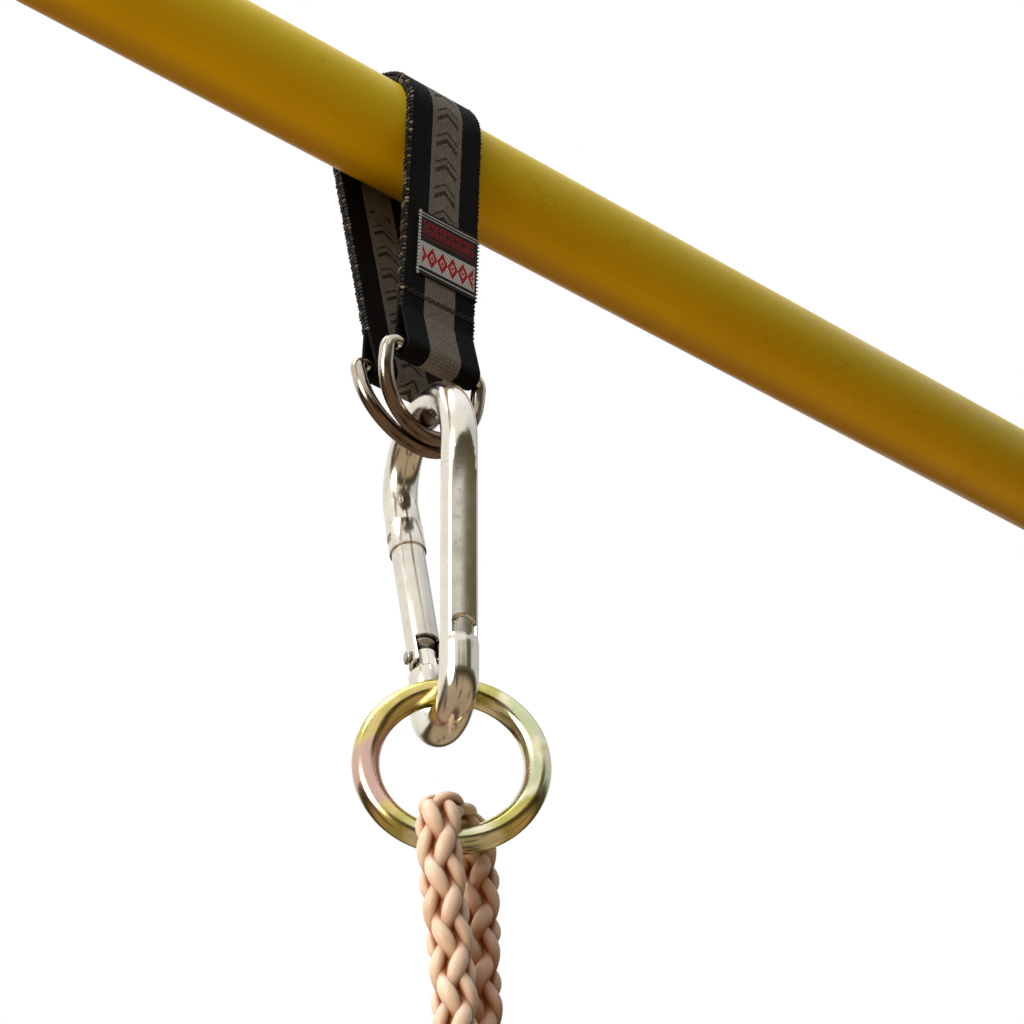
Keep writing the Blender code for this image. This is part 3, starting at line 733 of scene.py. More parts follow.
ring_of_red = calc(tree, "MULTIPLY", ring_of_red, between(right_way, 2.0 * MM, 23.4 * MM))
colour = mix(tree, ring_of_red, colour, (0.55, 0.010, 0.020, 1.0))
# border lines
lines = between(down_way, 0.75 * MM, 1.1 * MM)
lines = calc(tree, "MAXIMUM", lines, between(down_way, 1.75 * MM, 2.05 * MM))
lines = calc(tree, "MAXIMUM", lines, between(down_way, 21.6 * MM, 21.95 * MM))
stitched = calc(tree, "LESS_THAN", repeat(down_way, 1.25 * MM), 0.42 * MM)
stitched = calc(tree, "MULTIPLY", stitched, between(right_way, 0.15 * MM, 1.15 * MM))
lines = calc(tree, "MAXIMUM", lines, stitched)
colour = mix(tree, calc(tree, "MULTIPLY", lines, on_front), colour, (0.80, 0.81, 0.83, 1.0))
yarn_shade = span(tree, cloth["Height"], 0.0, 0.7, 0.62, 1.0)
colour = mix(tree, 1.0, colour, grey_of(tree, yarn_shade), "MULTIPLY")
raised = calc(tree, "MAXIMUM", calc(tree, "MULTIPLY", ring_of_red, lower_field), red_band)
relief = bump(tree, cloth["Height"], 0.7, 0.00014)
relief = bump(tree, raised, 0.5, 0.00015, relief)
feed(
    tree,
    shader,
    Base_Color=colour,
    Roughness=span(tree, cloth["Yarn"], 0.0, 1.0, 0.55, 0.75),
    Normal=relief,
    Specular_IOR_Level=0.2,
    Sheen_Weight=0.02,
)
dress(label, damask)
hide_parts("woven_label")

WHIPS = 17
WHIP_INSET = 0.9 * MM
whip_places = []
whip_tones = []
for number in range(WHIPS):
    drop = LABEL_TOP + WHIP_INSET + (LABEL_HEIGHT - 2.0 * WHIP_INSET) * number / (WHIPS - 1)
    spot = leg_start + leg_down * drop
    for rank in (-1.0, 1.0):
        middle = spot + leg_out * (rank * 0.95 * MM) + Vector((LABEL_RIGHT + 0.20 * MM, 0.0, 0.0))
        slant = leg_out * rank + leg_down * 0.45
        whip_places.append(laid(middle, slant, Vector((1.0, 0.0, 0.0)), (1.15 * MM, 0.34 * MM, 0.24 * MM)))
        whip_tones.append(0.2 if (number + int(rank > 0.0)) % 2 else 0.9)
label_thread = many("label_edge_stitches", bead, whip_places, "strap", whip_tones)

label_yarn, tree, shader, place = new_material("label_thread")
tone = put(tree, "ShaderNodeAttribute", attribute_name="tone").outputs["Fac"]
fibre = speckle(tree, place, 3000.0, 3.0)
pale = mix(tree, span(tree, tone, 0.4, 0.6), (0.016, 0.016, 0.018, 1.0), (0.58, 0.58, 0.60, 1.0))
pale = mix(tree, span(tree, fibre, 0.35, 0.7, 0.0, 0.3), pale, (0.10, 0.10, 0.10, 1.0))
feed(tree, shader, Base_Color=pale, Roughness=0.55, Normal=bump(tree, fibre, 0.5, 0.0001))
dress(label_thread, label_yarn)


# ---- D-rings ----
# Two rings bent from 4.8 mm steel wire and butt welded inside the strap's eyes, where the seam doesn't
# show. They are zinc-nickel bright, hand worn to a soft polish, with faint drawing lines on the wire.
steel_finish, given, gives = new_group(
    "bright steel",
    [
        ("Place", "NodeSocketVector", None),
        ("Tint", "NodeSocketColor", (0.70, 0.67, 0.62, 1.0)),
        ("Shade", "NodeSocketColor", (0.42, 0.37, 0.31, 1.0)),
        ("Gloss", "NodeSocketFloat", 0.12),
        ("Length", "NodeSocketVector", (1.0, 1.0, 0.2)),
    ],
    [("Color", "NodeSocketColor"), ("Roughness", "NodeSocketFloat"), ("Height", "NodeSocketFloat")],
)
cloudy = speckle(steel_finish, given["Place"], 85.0, 5.0, 0.6)
wear = use_group(
    steel_finish,
    handling,
    {"Place": given["Place"], "Size": 260.0, "Length": given["Length"], "Amount": 1.0},
)
tinted = mix(steel_finish, span(steel_finish, cloudy, 0.42, 0.78, 0.0, 0.55), given["Tint"], given["Shade"])
scratched = calc(steel_finish, "MULTIPLY", wear["Hairlines"], 0.45)
tinted = mix(steel_finish, scratched, tinted, (0.22, 0.19, 0.16, 1.0))
gloss = calc(steel_finish, "ADD", given["Gloss"], span(steel_finish, cloudy, 0.35, 0.8, 0.0, 0.10))
gloss = calc(steel_finish, "MULTIPLY_ADD", wear["Dull"], 0.05, gloss)
pits = speckle(steel_finish, given["Place"], 520.0, 3.0)
pitted = calc(steel_finish, "MULTIPLY", pits, 0.5)
height = calc(steel_finish, "MULTIPLY_ADD", wear["Hairlines"], -0.6, pitted)
steel_finish.links.new(tinted, gives["Color"])
steel_finish.links.new(gloss, gives["Roughness"])
steel_finish.links.new(height, gives["Height"])


def steel(name, tint, shade, gloss_value, length=(1.0, 1.0, 0.2), low_shade=None):
    """A steel from the finish above; its painted shade, if given, is its top, its bottom and its colour,
    deepening downwards.
    """
    made, steel_tree, steel_shader, steel_place = new_material(name)
    look = use_group(
        steel_tree,
        steel_finish,
        {"Place": steel_place, "Tint": tint, "Shade": shade, "Gloss": gloss_value, "Length": length},
    )
    colour_now = look["Color"]
    if low_shade is not None:
        top, bottom, low_shade_colour = low_shade
        drop = put(steel_tree, "ShaderNodeSeparateXYZ", {0: steel_place}).outputs[2]
        cloud = speckle(steel_tree, steel_place, 160.0, 3.0)
        drop = calc(steel_tree, "MULTIPLY_ADD", cloud, 0.012, drop)
        colour_now = mix(steel_tree, span(steel_tree, drop, top + 0.006, bottom + 0.006), colour_now, low_shade_colour)
    feed(
        steel_tree,
        steel_shader,
        Base_Color=colour_now,
        Metallic=1.0,
        Roughness=look["Roughness"],
        Normal=bump(steel_tree, look["Height"], 0.35, 0.00006),
    )
    return made


def bent_rod(name, line, radius, closed=False, sides=10):
    """A round rod along (point, radius) pairs, as a mesh, joined round when closed and capped otherwise."""
    curve = bpy.data.curves.new(name, "CURVE")
    curve.dimensions = "3D"
    curve.twist_mode = "MINIMUM"
    curve.bevel_depth = radius
    curve.bevel_resolution = sides
    curve.use_fill_caps = not closed
    spline = curve.splines.new("POLY")
    spline.points.add(len(line) - 1)
    for index, (point, here) in enumerate(line):
        spline.points[index].co = (*point, 1.0)
        spline.points[index].radius = here / radius
    spline.use_cyclic_u = closed
    made = bpy.data.objects.new(name, curve)
    bpy.context.scene.collection.objects.link(made)
    bpy.ops.object.select_all(action="DESELECT")
    bpy.context.view_layer.objects.active = made
    made.select_set(True)
    bpy.ops.object.convert(target="MESH")
    return bpy.context.object


D_WIRE = 2.4 * MM
D_HALF = 18.6 * MM
D_HEIGHT = 25.3 * MM
D_CORNER = 3.2 * MM
# painted shade: the rings are painted darker towards their bottoms
ring_steel = steel(
    "d_ring_steel",
    (0.58, 0.53, 0.46, 1.0),
    (0.34, 0.27, 0.20, 1.0),
    0.14,
    low_shade=(-96.0 * MM, -112.0 * MM, (0.20, 0.15, 0.115, 1.0)),
)
for name, side, tilt, bow in (("front", -1.0, 15.3, 0.7), ("back", 1.0, -7.6, 2.0)):
    corner = D_HALF - D_CORNER
    loop = arc((corner, D_CORNER), D_CORNER, math.radians(-90.0), 0.0, 14)[:-1]
    loop += arc((0.0, D_HEIGHT - D_HALF), D_HALF, 0.0, math.pi, 110)[:-1]
    loop += arc((-corner, D_CORNER), D_CORNER, math.pi, 1.5 * math.pi, 14)
    for step in range(1, 12):
        loop.append(Vector((-corner + 2.0 * corner * step / 12, 0.0)))
    line = []
    for spot in loop:
        # the butt weld leaves a low bead on the straight side, inside the eye
        bead_share = math.exp(-((spot.x / (1.3 * MM)) ** 2)) if spot.y < 0.1 * MM else 0.0
        sideways = spot.x + bow * MM * spot.y / D_HEIGHT
        line.append((Vector((sideways, 0.0, -spot.y)), D_WIRE + 0.12 * MM * bead_share))
    dee = bent_rod(name + "_steel_dee", line, D_WIRE, closed=True, sides=7)
    dee.data.transform(
        Matrix.Translation((-1.0 * MM, side * EYE.x, EYE.y)) @ Matrix.Rotation(math.radians(tilt), 4, "X")
    )
    finish_piece(dee, 60.0)
    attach(dee, name + "_dee")
    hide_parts(name + "_d_ring")
    dress(dee, ring_steel)


# ---- snap hook ----
# One length of 11 mm steel rod, hot bent to a pear shape, with a long flat pressed into the outside of
# its spine. The press leaves a slightly crowned face that ends below in an arched step. The free end
# is turned down to a stub that the gate closes over; the other end narrows to the hinge neck.
HOOK_FRAME = Matrix.Translation((0.0, 0.0, -108.4 * MM)) @ Matrix.Rotation(
    math.radians(70.0), 4, "Z"
) @ Matrix.Rotation(math.radians(-9.0), 4, "Y")
ROD = 5.5 * MM
BEND_ROD = 5.8 * MM
SPINE = -29.7 * MM
NOSE_RADIUS = 18.5 * MM
WIDE_RADIUS = 24.0 * MM
SLANT = math.radians(20.0)
GATE_LENGTH = 54.0 * MM
NOSE_RUN = 8.0 * MM
FOOT_RADIUS = 11.8 * MM
FOOT_Z = -97.4 * MM
FOOT_SLANT = math.radians(11.0)

nose_centre = Vector((SPINE + 30.5 * MM, -NOSE_RADIUS))
gate_way = Vector((math.sin(SLANT), math.cos(SLANT)))
gate_top = nose_centre + Vector((math.cos(SLANT), -math.sin(SLANT))) * NOSE_RADIUS
rivet_spot = gate_top - gate_way * (NOSE_RUN + GATE_LENGTH)
foot_centre = Vector((SPINE + FOOT_RADIUS, FOOT_Z))
foot_end = foot_centre + Vector((math.cos(FOOT_SLANT), -math.sin(FOOT_SLANT))) * FOOT_RADIUS

rod_line = []


def bend(points, radius):
    """More of the rod's line, all at one radius."""
    for point in points:
        rod_line.append((point, radius))


shoulder = rivet_spot + gate_way * (GATE_LENGTH + 0.3 * MM)
bend([shoulder - gate_way * 8.5 * MM], 2.4 * MM)
bend([shoulder - gate_way * 7.8 * MM, shoulder - gate_way * 0.02 * MM], 3.1 * MM)
bend([shoulder], ROD - 0.35 * MM)
bend([shoulder + gate_way * 0.15 * MM], ROD - 0.1 * MM)
bend([shoulder + gate_way * 0.40 * MM], ROD)
bend(arc(nose_centre, NOSE_RADIUS, -SLANT, math.radians(90.0), 44)[1:], ROD)
bend(arc((SPINE + WIDE_RADIUS, -WIDE_RADIUS), WIDE_RADIUS, math.radians(90.0), math.pi, 44), ROD)
for number in range(1, 111):
    bend([Vector((SPINE, -WIDE_RADIUS - 0.5 * MM * number))], ROD)
for number in range(1, 46):
    bend([Vector((SPINE, -WIDE_RADIUS - 55.0 * MM - 0.2 * MM * number))], ROD)
bend([Vector((SPINE, FOOT_Z + 8.4 * MM)), Vector((SPINE, FOOT_Z + 7.4 * MM))], BEND_ROD)
bend(arc(foot_centre, FOOT_RADIUS, math.pi, 2.0 * math.pi - FOOT_SLANT, 48), BEND_ROD)
neck_low = rivet_spot - gate_way * 6.6 * MM
foot_way = Vector((math.sin(FOOT_SLANT), math.cos(FOOT_SLANT)))
reach = (neck_low - foot_end).length * 0.9
for number in range(1, 12):
    t = number / 12
    point = foot_end * (2 * t**3 - 3 * t**2 + 1) + foot_way * (reach * (t**3 - 2 * t**2 + t))
    point += neck_low * (3 * t**2 - 2 * t**3) + gate_way * (reach * (t**3 - t**2))
    bend([point], BEND_ROD)
bend([neck_low], BEND_ROD)
bend([neck_low + gate_way * 0.25 * MM], BEND_ROD - 0.2 * MM)
bend([neck_low + gate_way * 0.40 * MM], BEND_ROD - 0.5 * MM)
bend([neck_low + gate_way * 0.42 * MM, rivet_spot, rivet_spot + gate_way * 1.6 * MM], 3.5 * MM)
bend([rivet_spot + gate_way * 2.9 * MM], 2.7 * MM)
bend([rivet_spot + gate_way * 3.5 * MM], 1.5 * MM)

hook = bent_rod(
    "snap_hook_rod", [(Vector((spot.x, 0.0, spot.y)), radius) for spot, radius in rod_line], ROD, sides=26
)
work = bmesh.new()
work.from_mesh(hook.data)
bmesh.ops.remove_doubles(work, verts=work.verts, dist=0.000002)
# the flat sinks in gently from the wide bend, is crowned across, and is pressed deeper inside the arch
FLAT_HALF = 4.07 * MM
FLAT_START = -20.0 * MM
FLAT_RUN = 22.0 * MM
FLAT_DEPTH = 1.9 * MM
FLAT_BOTTOM = -87.2 * MM
FLAT_FROM = 5.6 * MM
CROWN_RADIUS = 36.0 * MM
ARCH_Z = -84.6 * MM
ARCH_RADIUS = 3.6 * MM
ARCH_BREAK = 0.5 * MM
ARCH_DEPTH = 0.55 * MM
for vertex in work.verts:
    across, side, high = vertex.co.x - SPINE, vertex.co.y, vertex.co.z
    if not FLAT_BOTTOM <= high < FLAT_START or across > 0.0:
        continue
    sunk = 1.0 - (1.0 - min(1.0, (FLAT_START - high) / FLAT_RUN)) ** 2
    crown = max(0.0, FLAT_HALF**2 - side**2) / (2.0 * CROWN_RADIUS)
    limit = FLAT_FROM - FLAT_DEPTH * sunk + crown
    from_arch = math.hypot(side, max(0.0, high - ARCH_Z))
    limit -= ARCH_DEPTH * min(1.0, max(0.0, (ARCH_RADIUS - from_arch) / ARCH_BREAK + 0.5))
    if -across > limit:
        vertex.co.x = SPINE - limit
bmesh.ops.recalc_face_normals(work, faces=work.faces)
work.to_mesh(hook.data)
work.free()
hook.data.shade_smooth()
hook.data.set_sharp_from_angle(angle=math.radians(24.0))
hook.data.transform(HOOK_FRAME)
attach(hook, "hook")
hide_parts("snap_hook_body")
ROD_GRAIN = (1.0, 1.0, 0.15)
hook_steel = steel("snap_hook_steel", (0.79, 0.76, 0.69, 1.0), (0.58, 0.53, 0.45, 1.0), 0.15, ROD_GRAIN)
dress(hook, hook_steel)


# ---- gate ----
# A turned steel tube that swings on a rivet through the hook's neck. A compression spring and a
# plunger inside push on the neck and keep it shut; a cross pin in the hook's nose sits in the slots
# of its collar and takes the load when it is closed.
gate_steel = steel("gate_steel", (0.76, 0.73, 0.67, 1.0), (0.58, 0.53, 0.46, 1.0), 0.15, ROD_GRAIN)
pin_steel = steel("pin_steel", (0.42, 0.38, 0.33, 1.0), (0.20, 0.16, 0.13, 1.0), 0.26)
spring_wire = steel("spring_wire", (0.50, 0.49, 0.47, 1.0), (0.28, 0.26, 0.24, 1.0), 0.28)


def smoothed_copy(node, name, body, material, edge):
    """A turned piece as the machinist leaves it: one merged shape, its edges broken, its rounds smooth."""
    piece = bpy.data.objects.new(name, nodes[node].data.copy())
    bpy.context.scene.collection.objects.link(piece)
    work = bmesh.new()
    work.from_mesh(piece.data)
    bmesh.ops.remove_doubles(work, verts=work.verts, dist=0.000004)
    bmesh.ops.dissolve_limit(work, angle_limit=math.radians(1.0), verts=work.verts, edges=work.edges)
    work.to_mesh(piece.data)
    work.free()
    edges = {"width": edge, "segments": 2, "limit_method": "ANGLE", "angle_limit": math.radians(42.0)}
    finish_piece(piece, 38.0, BEVEL=edges)
    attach(piece, body)
    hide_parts(node)
    dress(piece, material)
    return piece


smoothed_copy("gate_sleeve", "gate_tube", "gate", gate_steel, 0.10 * MM)
smoothed_copy("gate_rivet", "hinge_rivet", "hook", pin_steel, 0.22 * MM)
smoothed_copy("nose_pin", "catch_pin", "hook", pin_steel, 0.15 * MM)
smoothed_copy("gate_plunger", "spring_plunger", "gate", spring_wire, 0.12 * MM)
smoothed_copy("gate_spring", "gate_coil_spring", "gate", spring_wire, 0.02 * MM)


# ---- round ring ----
# Welded from 8 mm rod, plated with zinc and passivated yellow. The thin film shows gold, straw,
# olive and rose patches that drift round the ring, and carries fine dark scratches.
RING_MIDDLE = Vector((0.2 * MM, -2.4 * MM, -233.1 * MM))
RING_RADIUS = 24.5 * MM
RING_ROD = 4.0 * MM
RING_TURN = math.radians(-38.0)
RING_WAY = Vector((math.cos(RING_TURN), math.sin(RING_TURN), 0.0))
RING_BOTTOM = RING_MIDDLE - Vector((0.0, 0.0, RING_RADIUS))
passivated, tree, shader, place = new_material("yellow_passivated_zinc")
drift = speckle(tree, place, 30.0, 1.0, 0.5, 0.3)
fine = speckle(tree, place, 150.0, 4.0, 0.6)
film = calc(tree, "MULTIPLY_ADD", fine, 0.16, calc(tree, "MULTIPLY_ADD", drift, 1.5, -0.20))
bands = put(tree, "ShaderNodeValToRGB", {0: film})
bands.color_ramp.interpolation = "EASE"
stops = [
    (0.40, (0.64, 0.44, 0.37, 1.0)),
    (0.48, (0.70, 0.56, 0.22, 1.0)),
    (0.55, (0.50, 0.47, 0.13, 1.0)),
    (0.62, (0.84, 0.79, 0.57, 1.0)),
    (0.70, (0.58, 0.63, 0.38, 1.0)),
    (0.80, (0.84, 0.69, 0.61, 1.0)),
]
bands.color_ramp.elements[0].position = stops[0][0]
bands.color_ramp.elements[0].color = stops[0][1]
bands.color_ramp.elements[1].position = stops[-1][0]
bands.color_ramp.elements[1].color = stops[-1][1]
for position, value in stops[1:-1]:
    bands.color_ramp.elements.new(position).color = value
marks = use_group(tree, handling, {"Place": place, "Size": 240.0, "Amount": 0.8})
scratched = calc(tree, "MULTIPLY", marks["Hairlines"], 0.5)
film_colour = mix(tree, scratched, bands.outputs[0], (0.30, 0.24, 0.14, 1.0))
feed(
    tree,
    shader,
    Base_Color=film_colour,
    Metallic=1.0,
    Roughness=span(tree, fine, 0.3, 0.75, 0.13, 0.25),
    Normal=bump(tree, speckle(tree, place, 420.0, 3.0), 0.22, 0.00006),
)
bpy.ops.object.select_all(action="DESELECT")
bpy.ops.mesh.primitive_torus_add(
    major_radius=RING_RADIUS,
    minor_radius=RING_ROD,
    major_segments=168,
    minor_segments=40,
    location=RING_MIDDLE,
    rotation=(math.radians(90.0), 0.0, RING_TURN),
)
ring = bpy.context.object
ring.name = "plated_ring"
finish_piece(ring, 60.0)
# the weld is ground nearly flush and shows as a low uneven swelling under the rope
WELD_HEIGHT = 0.10 * MM
WELD_WIDTH = 1.6 * MM
weld_spot = RING_BOTTOM + RING_WAY * 1.0 * MM
for vertex in ring.data.vertices:
    off = (vertex.co - weld_spot).dot(RING_WAY)
    if abs(off) < 4.0 * MM and vertex.co.z < RING_MIDDLE.z:
        uneven = 0.6 + 0.4 * noise.noise(vertex.co * 900.0)
        raised_by = WELD_HEIGHT * uneven * math.exp(-((off / WELD_WIDTH) ** 2))
        vertex.co += (vertex.co - weld_spot).normalized() * raised_by
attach(ring, "ring")
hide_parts("swing_ring")
dress(ring, passivated)


# ---- rope ----
# A 13 mm rope braided from eight strands of soft glossy polypropylene yarn, four laid each way, each
# over one and under one. It is doubled over the ring, both legs hang down together, and below the
# whipping it opens into the loop that carries the tire.
ROPE = 6.5 * MM
RING_LOW = RING_BOTTOM.z
ROPE_TURN = math.radians(24.0)
ROPE_LOW_TURN = math.radians(14.0)
BIGHT = 12.6 * MM
BIGHT_HEIGHT = 11.0 * MM
LEG_SPACE = 6.9 * MM
WHIP_TOP = -336.0 * MM
WHIP_LENGTH = 27.0 * MM
LOOP_DROP = 62.0 * MM
LOOP_HALF = 24.0 * MM


def rope_point(side, height, drop):
    """A place in the rope's own upright plane, which turns a little on the way down."""
    share = min(1.0, max(0.0, drop / (RING_LOW - WHIP_TOP)))
    turn = ROPE_TURN + (ROPE_LOW_TURN - ROPE_TURN) * share
    return Vector((RING_MIDDLE.x + side * math.cos(turn), RING_MIDDLE.y + side * math.sin(turn), height))


def leg_spread(drop):
    """Half the space between the legs, which close in evenly below the ring."""
    share = min(1.0, max(0.0, drop / (0.62 * (RING_LOW - WHIP_TOP))))
    return BIGHT + (LEG_SPACE - BIGHT) * share * share * (3.0 - 2.0 * share)


WHIP_BOTTOM = WHIP_TOP - WHIP_LENGTH
ROPE_END = WHIP_TOP - WHIP_LENGTH * 0.5
leg_line = []
for step in range(61):
    drop = (RING_LOW - ROPE_END) * step / 60
    leg_line.append((leg_spread(drop), RING_LOW - drop, drop))
route = [rope_point(*spot) for spot in leg_line[::-1]]
for step in range(1, 40):
    turn = math.pi * step / 40
    route.append(rope_point(BIGHT * math.cos(turn), RING_LOW + BIGHT_HEIGHT * math.sin(turn), 0.0))
route += [rope_point(-spread, height, drop) for spread, height, drop in leg_line]
LOW_DROP = RING_LOW - WHIP_TOP
route.append(rope_point(-LEG_SPACE, WHIP_BOTTOM, LOW_DROP))
for step in range(1, 120):
    t = step / 120
    swing = math.sin(math.pi * t)
    side = -LEG_SPACE * math.cos(math.pi * t) - LOOP_HALF * math.sin(2.0 * math.pi * t) * swing**0.6
    route.append(rope_point(side, WHIP_BOTTOM - LOOP_DROP * swing**1.1, LOW_DROP))
route.append(rope_point(LEG_SPACE, WHIP_BOTTOM, LOW_DROP))
route.append(rope_point(LEG_SPACE, ROPE_END - 1.0 * MM, LOW_DROP))
rope_steps, ROPE_LENGTH = even_steps(route, 0.95 * MM)
for _ in range(3):
    calm = [rope_steps[0][0]]
    for index in range(1, len(rope_steps) - 1):
        calm.append((rope_steps[index - 1][0] + rope_steps[index][0] * 2.0 + rope_steps[index + 1][0]) / 4.0)
    calm.append(rope_steps[-1][0])
    rope_steps = [(point, rope_steps[index][1]) for index, point in enumerate(calm)]


def turned_frames(points):
    """Two sideways directions at each point that don't twist along the line."""
    found = []
    side = None
    for index, point in enumerate(points):
        ahead = points[min(index + 1, len(points) - 1)] - points[max(index - 1, 0)]
        ahead.normalize()
        if side is None:
            side = ahead.orthogonal().normalized()
        side = (side - ahead * side.dot(ahead)).normalized()
        found.append((side.copy(), ahead.cross(side).normalized()))
    return found


def skin(start, rings, sides, along=None):
    """Faces and UV places of a tube of point rings from a start number, closed at both ends."""
    faces, places = [], []
    for index in range(rings - 1):
        here = start + index * sides
        for number in range(sides):
            near = (number + 1) % sides
            faces.append((here + number, here + near, here + sides + near, here + sides + number))
            if along is None:
                places += [(0.0, 0.0)] * 4
                continue
            low, high = along[index], along[index + 1]
            first, second = number / sides, (number + 1) / sides
            places += [(low, first), (low, second), (high, second), (high, first)]
    for cap in (start, start + (rings - 1) * sides):
        faces.append(tuple(range(cap, cap + sides)))
        places += [(0.0, 0.0)] * sides
    return faces, places


rope_line = [point for point, distance in rope_steps]
rope_along = [distance for point, distance in rope_steps]
rope_frames = turned_frames(rope_line)
LAY = 69.0 * MM
STRANDS = 8
STRAND_OUT = 3.72 * MM
STRAND_WEAVE = 0.92 * MM
CORE_RADIUS = 3.25 * MM
SIDES = 12
rope_points = []
rope_faces = []
rope_uv = []
rope_shade = []
for strand in range(STRANDS):
    way = 1.0 if strand % 2 == 0 else -1.0
    start_turn = math.pi / 2.0 * (strand // 2) + 0.35
    ring_start = len(rope_points)
    spine_points = []
    lifts = []
    for index, point in enumerate(rope_line):
        distance = rope_along[index]
        turn = start_turn + way * 2.0 * math.pi * distance / LAY
        wave = way * math.cos(2.0 * math.pi * distance / (LAY / 4.0))
        lift_now = wave * (1.0 + 0.05 * noise.noise(Vector((strand * 3.1, distance * 120.0, 0.0))))
        radius = STRAND_OUT + STRAND_WEAVE * lift_now
        one, two = rope_frames[index]
        out = one * math.cos(turn) + two * math.sin(turn)
        spine_points.append((point + out * radius, out))
        lifts.append(lift_now)
    last = len(rope_line) - 1
    for index, (middle, out) in enumerate(spine_points):
        ahead = (spine_points[min(index + 1, last)][0] - spine_points[max(index - 1, 0)][0]).normalized()
        out = (out - ahead * out.dot(ahead)).normalized()
        along_side = ahead.cross(out)
        swell = lifts[index]
        half_wide = (2.02 + 0.50 * swell) * MM
        half_deep = (1.80 + 0.24 * swell) * MM
        for side_number in range(SIDES):
            turn = 2.0 * math.pi * side_number / SIDES
            spot = middle + along_side * (half_wide * math.cos(turn)) + out * (half_deep * math.sin(turn))
            rope_points.append(spot)
            # painted shade: each strand is painted darker towards the rope's core, in the crevices between
            # the strands
            from_core = (spot - rope_line[index]).length - 3.5 * MM
            rope_shade.append(min(1.0, max(0.0, from_core / (2.9 * MM))))
    faces, places = skin(ring_start, len(rope_line), SIDES, rope_along)
    rope_faces += faces
    rope_uv += places
core_start = len(rope_points)
CORE_SIDES = 8
for index, point in enumerate(rope_line):
    one, two = rope_frames[index]
    for side_number in range(CORE_SIDES):
        turn = 2.0 * math.pi * side_number / CORE_SIDES
        rope_points.append(point + (one * math.cos(turn) + two * math.sin(turn)) * CORE_RADIUS)
        rope_shade.append(0.0)
faces, places = skin(core_start, len(rope_line), CORE_SIDES)
rope_faces += faces
rope_uv += places
# where the rope bears on the ring it is pressed flatter, and bends about as tightly as it can
BEARING = RING_LOW + RING_ROD
PRESSED = 0.64
for spot in rope_points:
    if spot.z > BEARING:
        spot.z = BEARING + (spot.z - BEARING) * PRESSED
# the strands give way round the ring's rod, which curves up to both sides
NEAR_RING = 12.0 * MM
RING_ROOM = RING_ROD + 0.12 * MM
for spot in rope_points:
    away = spot - RING_BOTTOM
    sideways = away.dot(RING_WAY)
    if abs(sideways) > NEAR_RING or away.z < -NEAR_RING:
        continue
    radial = away - RING_WAY * sideways
    clear = RING_ROOM + sideways**2 / (2.0 * RING_RADIUS)
    if 0.0 < radial.length < clear:
        spot += radial.normalized() * (clear - radial.length)
# below the ring the legs are painted darker where they lie together, as painted shade, the second leg more
# than the first
leg_side = Vector((math.cos(ROPE_LOW_TURN), math.sin(ROPE_LOW_TURN), 0.0))
for index, spot in enumerate(rope_points):
    below = min(1.0, max(0.0, (RING_LOW - 1.0 * MM - spot.z) / (7.0 * MM)))
    sideways = (spot - RING_MIDDLE).dot(leg_side)
    behind_shade = min(1.0, max(0.0, (sideways + 1.5 * MM) / (2.0 * MM)))
    behind_shade *= 1.0 - 0.5 * min(1.0, max(0.0, (sideways - 9.0 * MM) / (4.0 * MM)))
    rope_shade[index] *= 1.0 - 0.42 * below * behind_shade
rope = solid("braided_rope", rope_points, rope_faces, rope_uv, rope_shade, body="rope")

yarn, tree, shader, place = new_material("rope_yarn")
along, around_strand = own_map(tree)
tone = put(tree, "ShaderNodeAttribute", attribute_name="tone").outputs["Fac"]
# the yarns run along the strand: the pattern is drawn out lengthwise and wraps round without a seam
THREAD_LENGTHWISE = 90.0
THREAD_ROUND = 7.0
angle = calc(tree, "MULTIPLY", around_strand, 2.0 * math.pi)
thread_lines = put(
    tree,
    "ShaderNodeCombineXYZ",
    {
        0: calc(tree, "MULTIPLY", along, THREAD_LENGTHWISE),
        1: calc(tree, "MULTIPLY", calc(tree, "SINE", angle), THREAD_ROUND),
        2: calc(tree, "MULTIPLY", calc(tree, "COSINE", angle), THREAD_ROUND),
    },
).outputs[0]
threads = speckle(tree, thread_lines, 1.0, 3.0, 0.6)
cloud = span(tree, speckle(tree, place, 55.0, 3.0), 0.3, 0.7)
bright = mix(tree, cloud, (0.86, 0.61, 0.44, 1.0), (0.93, 0.73, 0.57, 1.0))
# painted shade: the tone gives the strands' crevices, and the leg behind, a dark reddish brown; the thread
# marks and soil below are the yarn's own
crevice_shaded = mix(tree, span(tree, tone, 0.15, 0.88), (0.40, 0.135, 0.040, 1.0), bright)
worn_and_shaded = mix(tree, span(tree, threads, 0.35, 0.62, 0.16, 0.0), crevice_shaded, (0.50, 0.30, 0.17, 1.0))
soil = span(tree, speckle(tree, place, 130.0, 6.0, 0.7), 0.58, 0.80, 0.0, 0.22)
worn_and_shaded = mix(tree, soil, worn_and_shaded, (0.36, 0.24, 0.16, 1.0))
relief = bump(tree, threads, 0.55, 0.00022)
relief = bump(tree, speckle(tree, place, 1500.0, 2.0), 0.10, 0.00006, relief)
feed(
    tree,
    shader,
    Base_Color=worn_and_shaded,
    Roughness=span(tree, threads, 0.3, 0.7, 0.24, 0.40),
    Normal=relief,
    Specular_IOR_Level=0.45,
    Subsurface_Weight=0.12,
    Subsurface_Radius=(0.9, 0.45, 0.25),
    Subsurface_Scale=0.002,
    Sheen_Weight=0.05,
    Sheen_Roughness=0.4,
)
dress(rope, yarn)
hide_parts("swing_rope")


# ---- whipping ----
# Waxed twine wound tightly round both legs, seventeen turns, below where the legs come together.
# It holds the rope's two cut ends inside the bundle and sets the size of the loop.
TWINE = 0.75 * MM
TURNS = 17
TWINE_OUT = ROPE + 1.05 * MM
flat_run = 2.0 * LEG_SPACE
round_run = math.pi * TWINE_OUT
once = 2.0 * (flat_run + round_run)
leg_square = Vector((-math.sin(ROPE_LOW_TURN), math.cos(ROPE_LOW_TURN), 0.0))


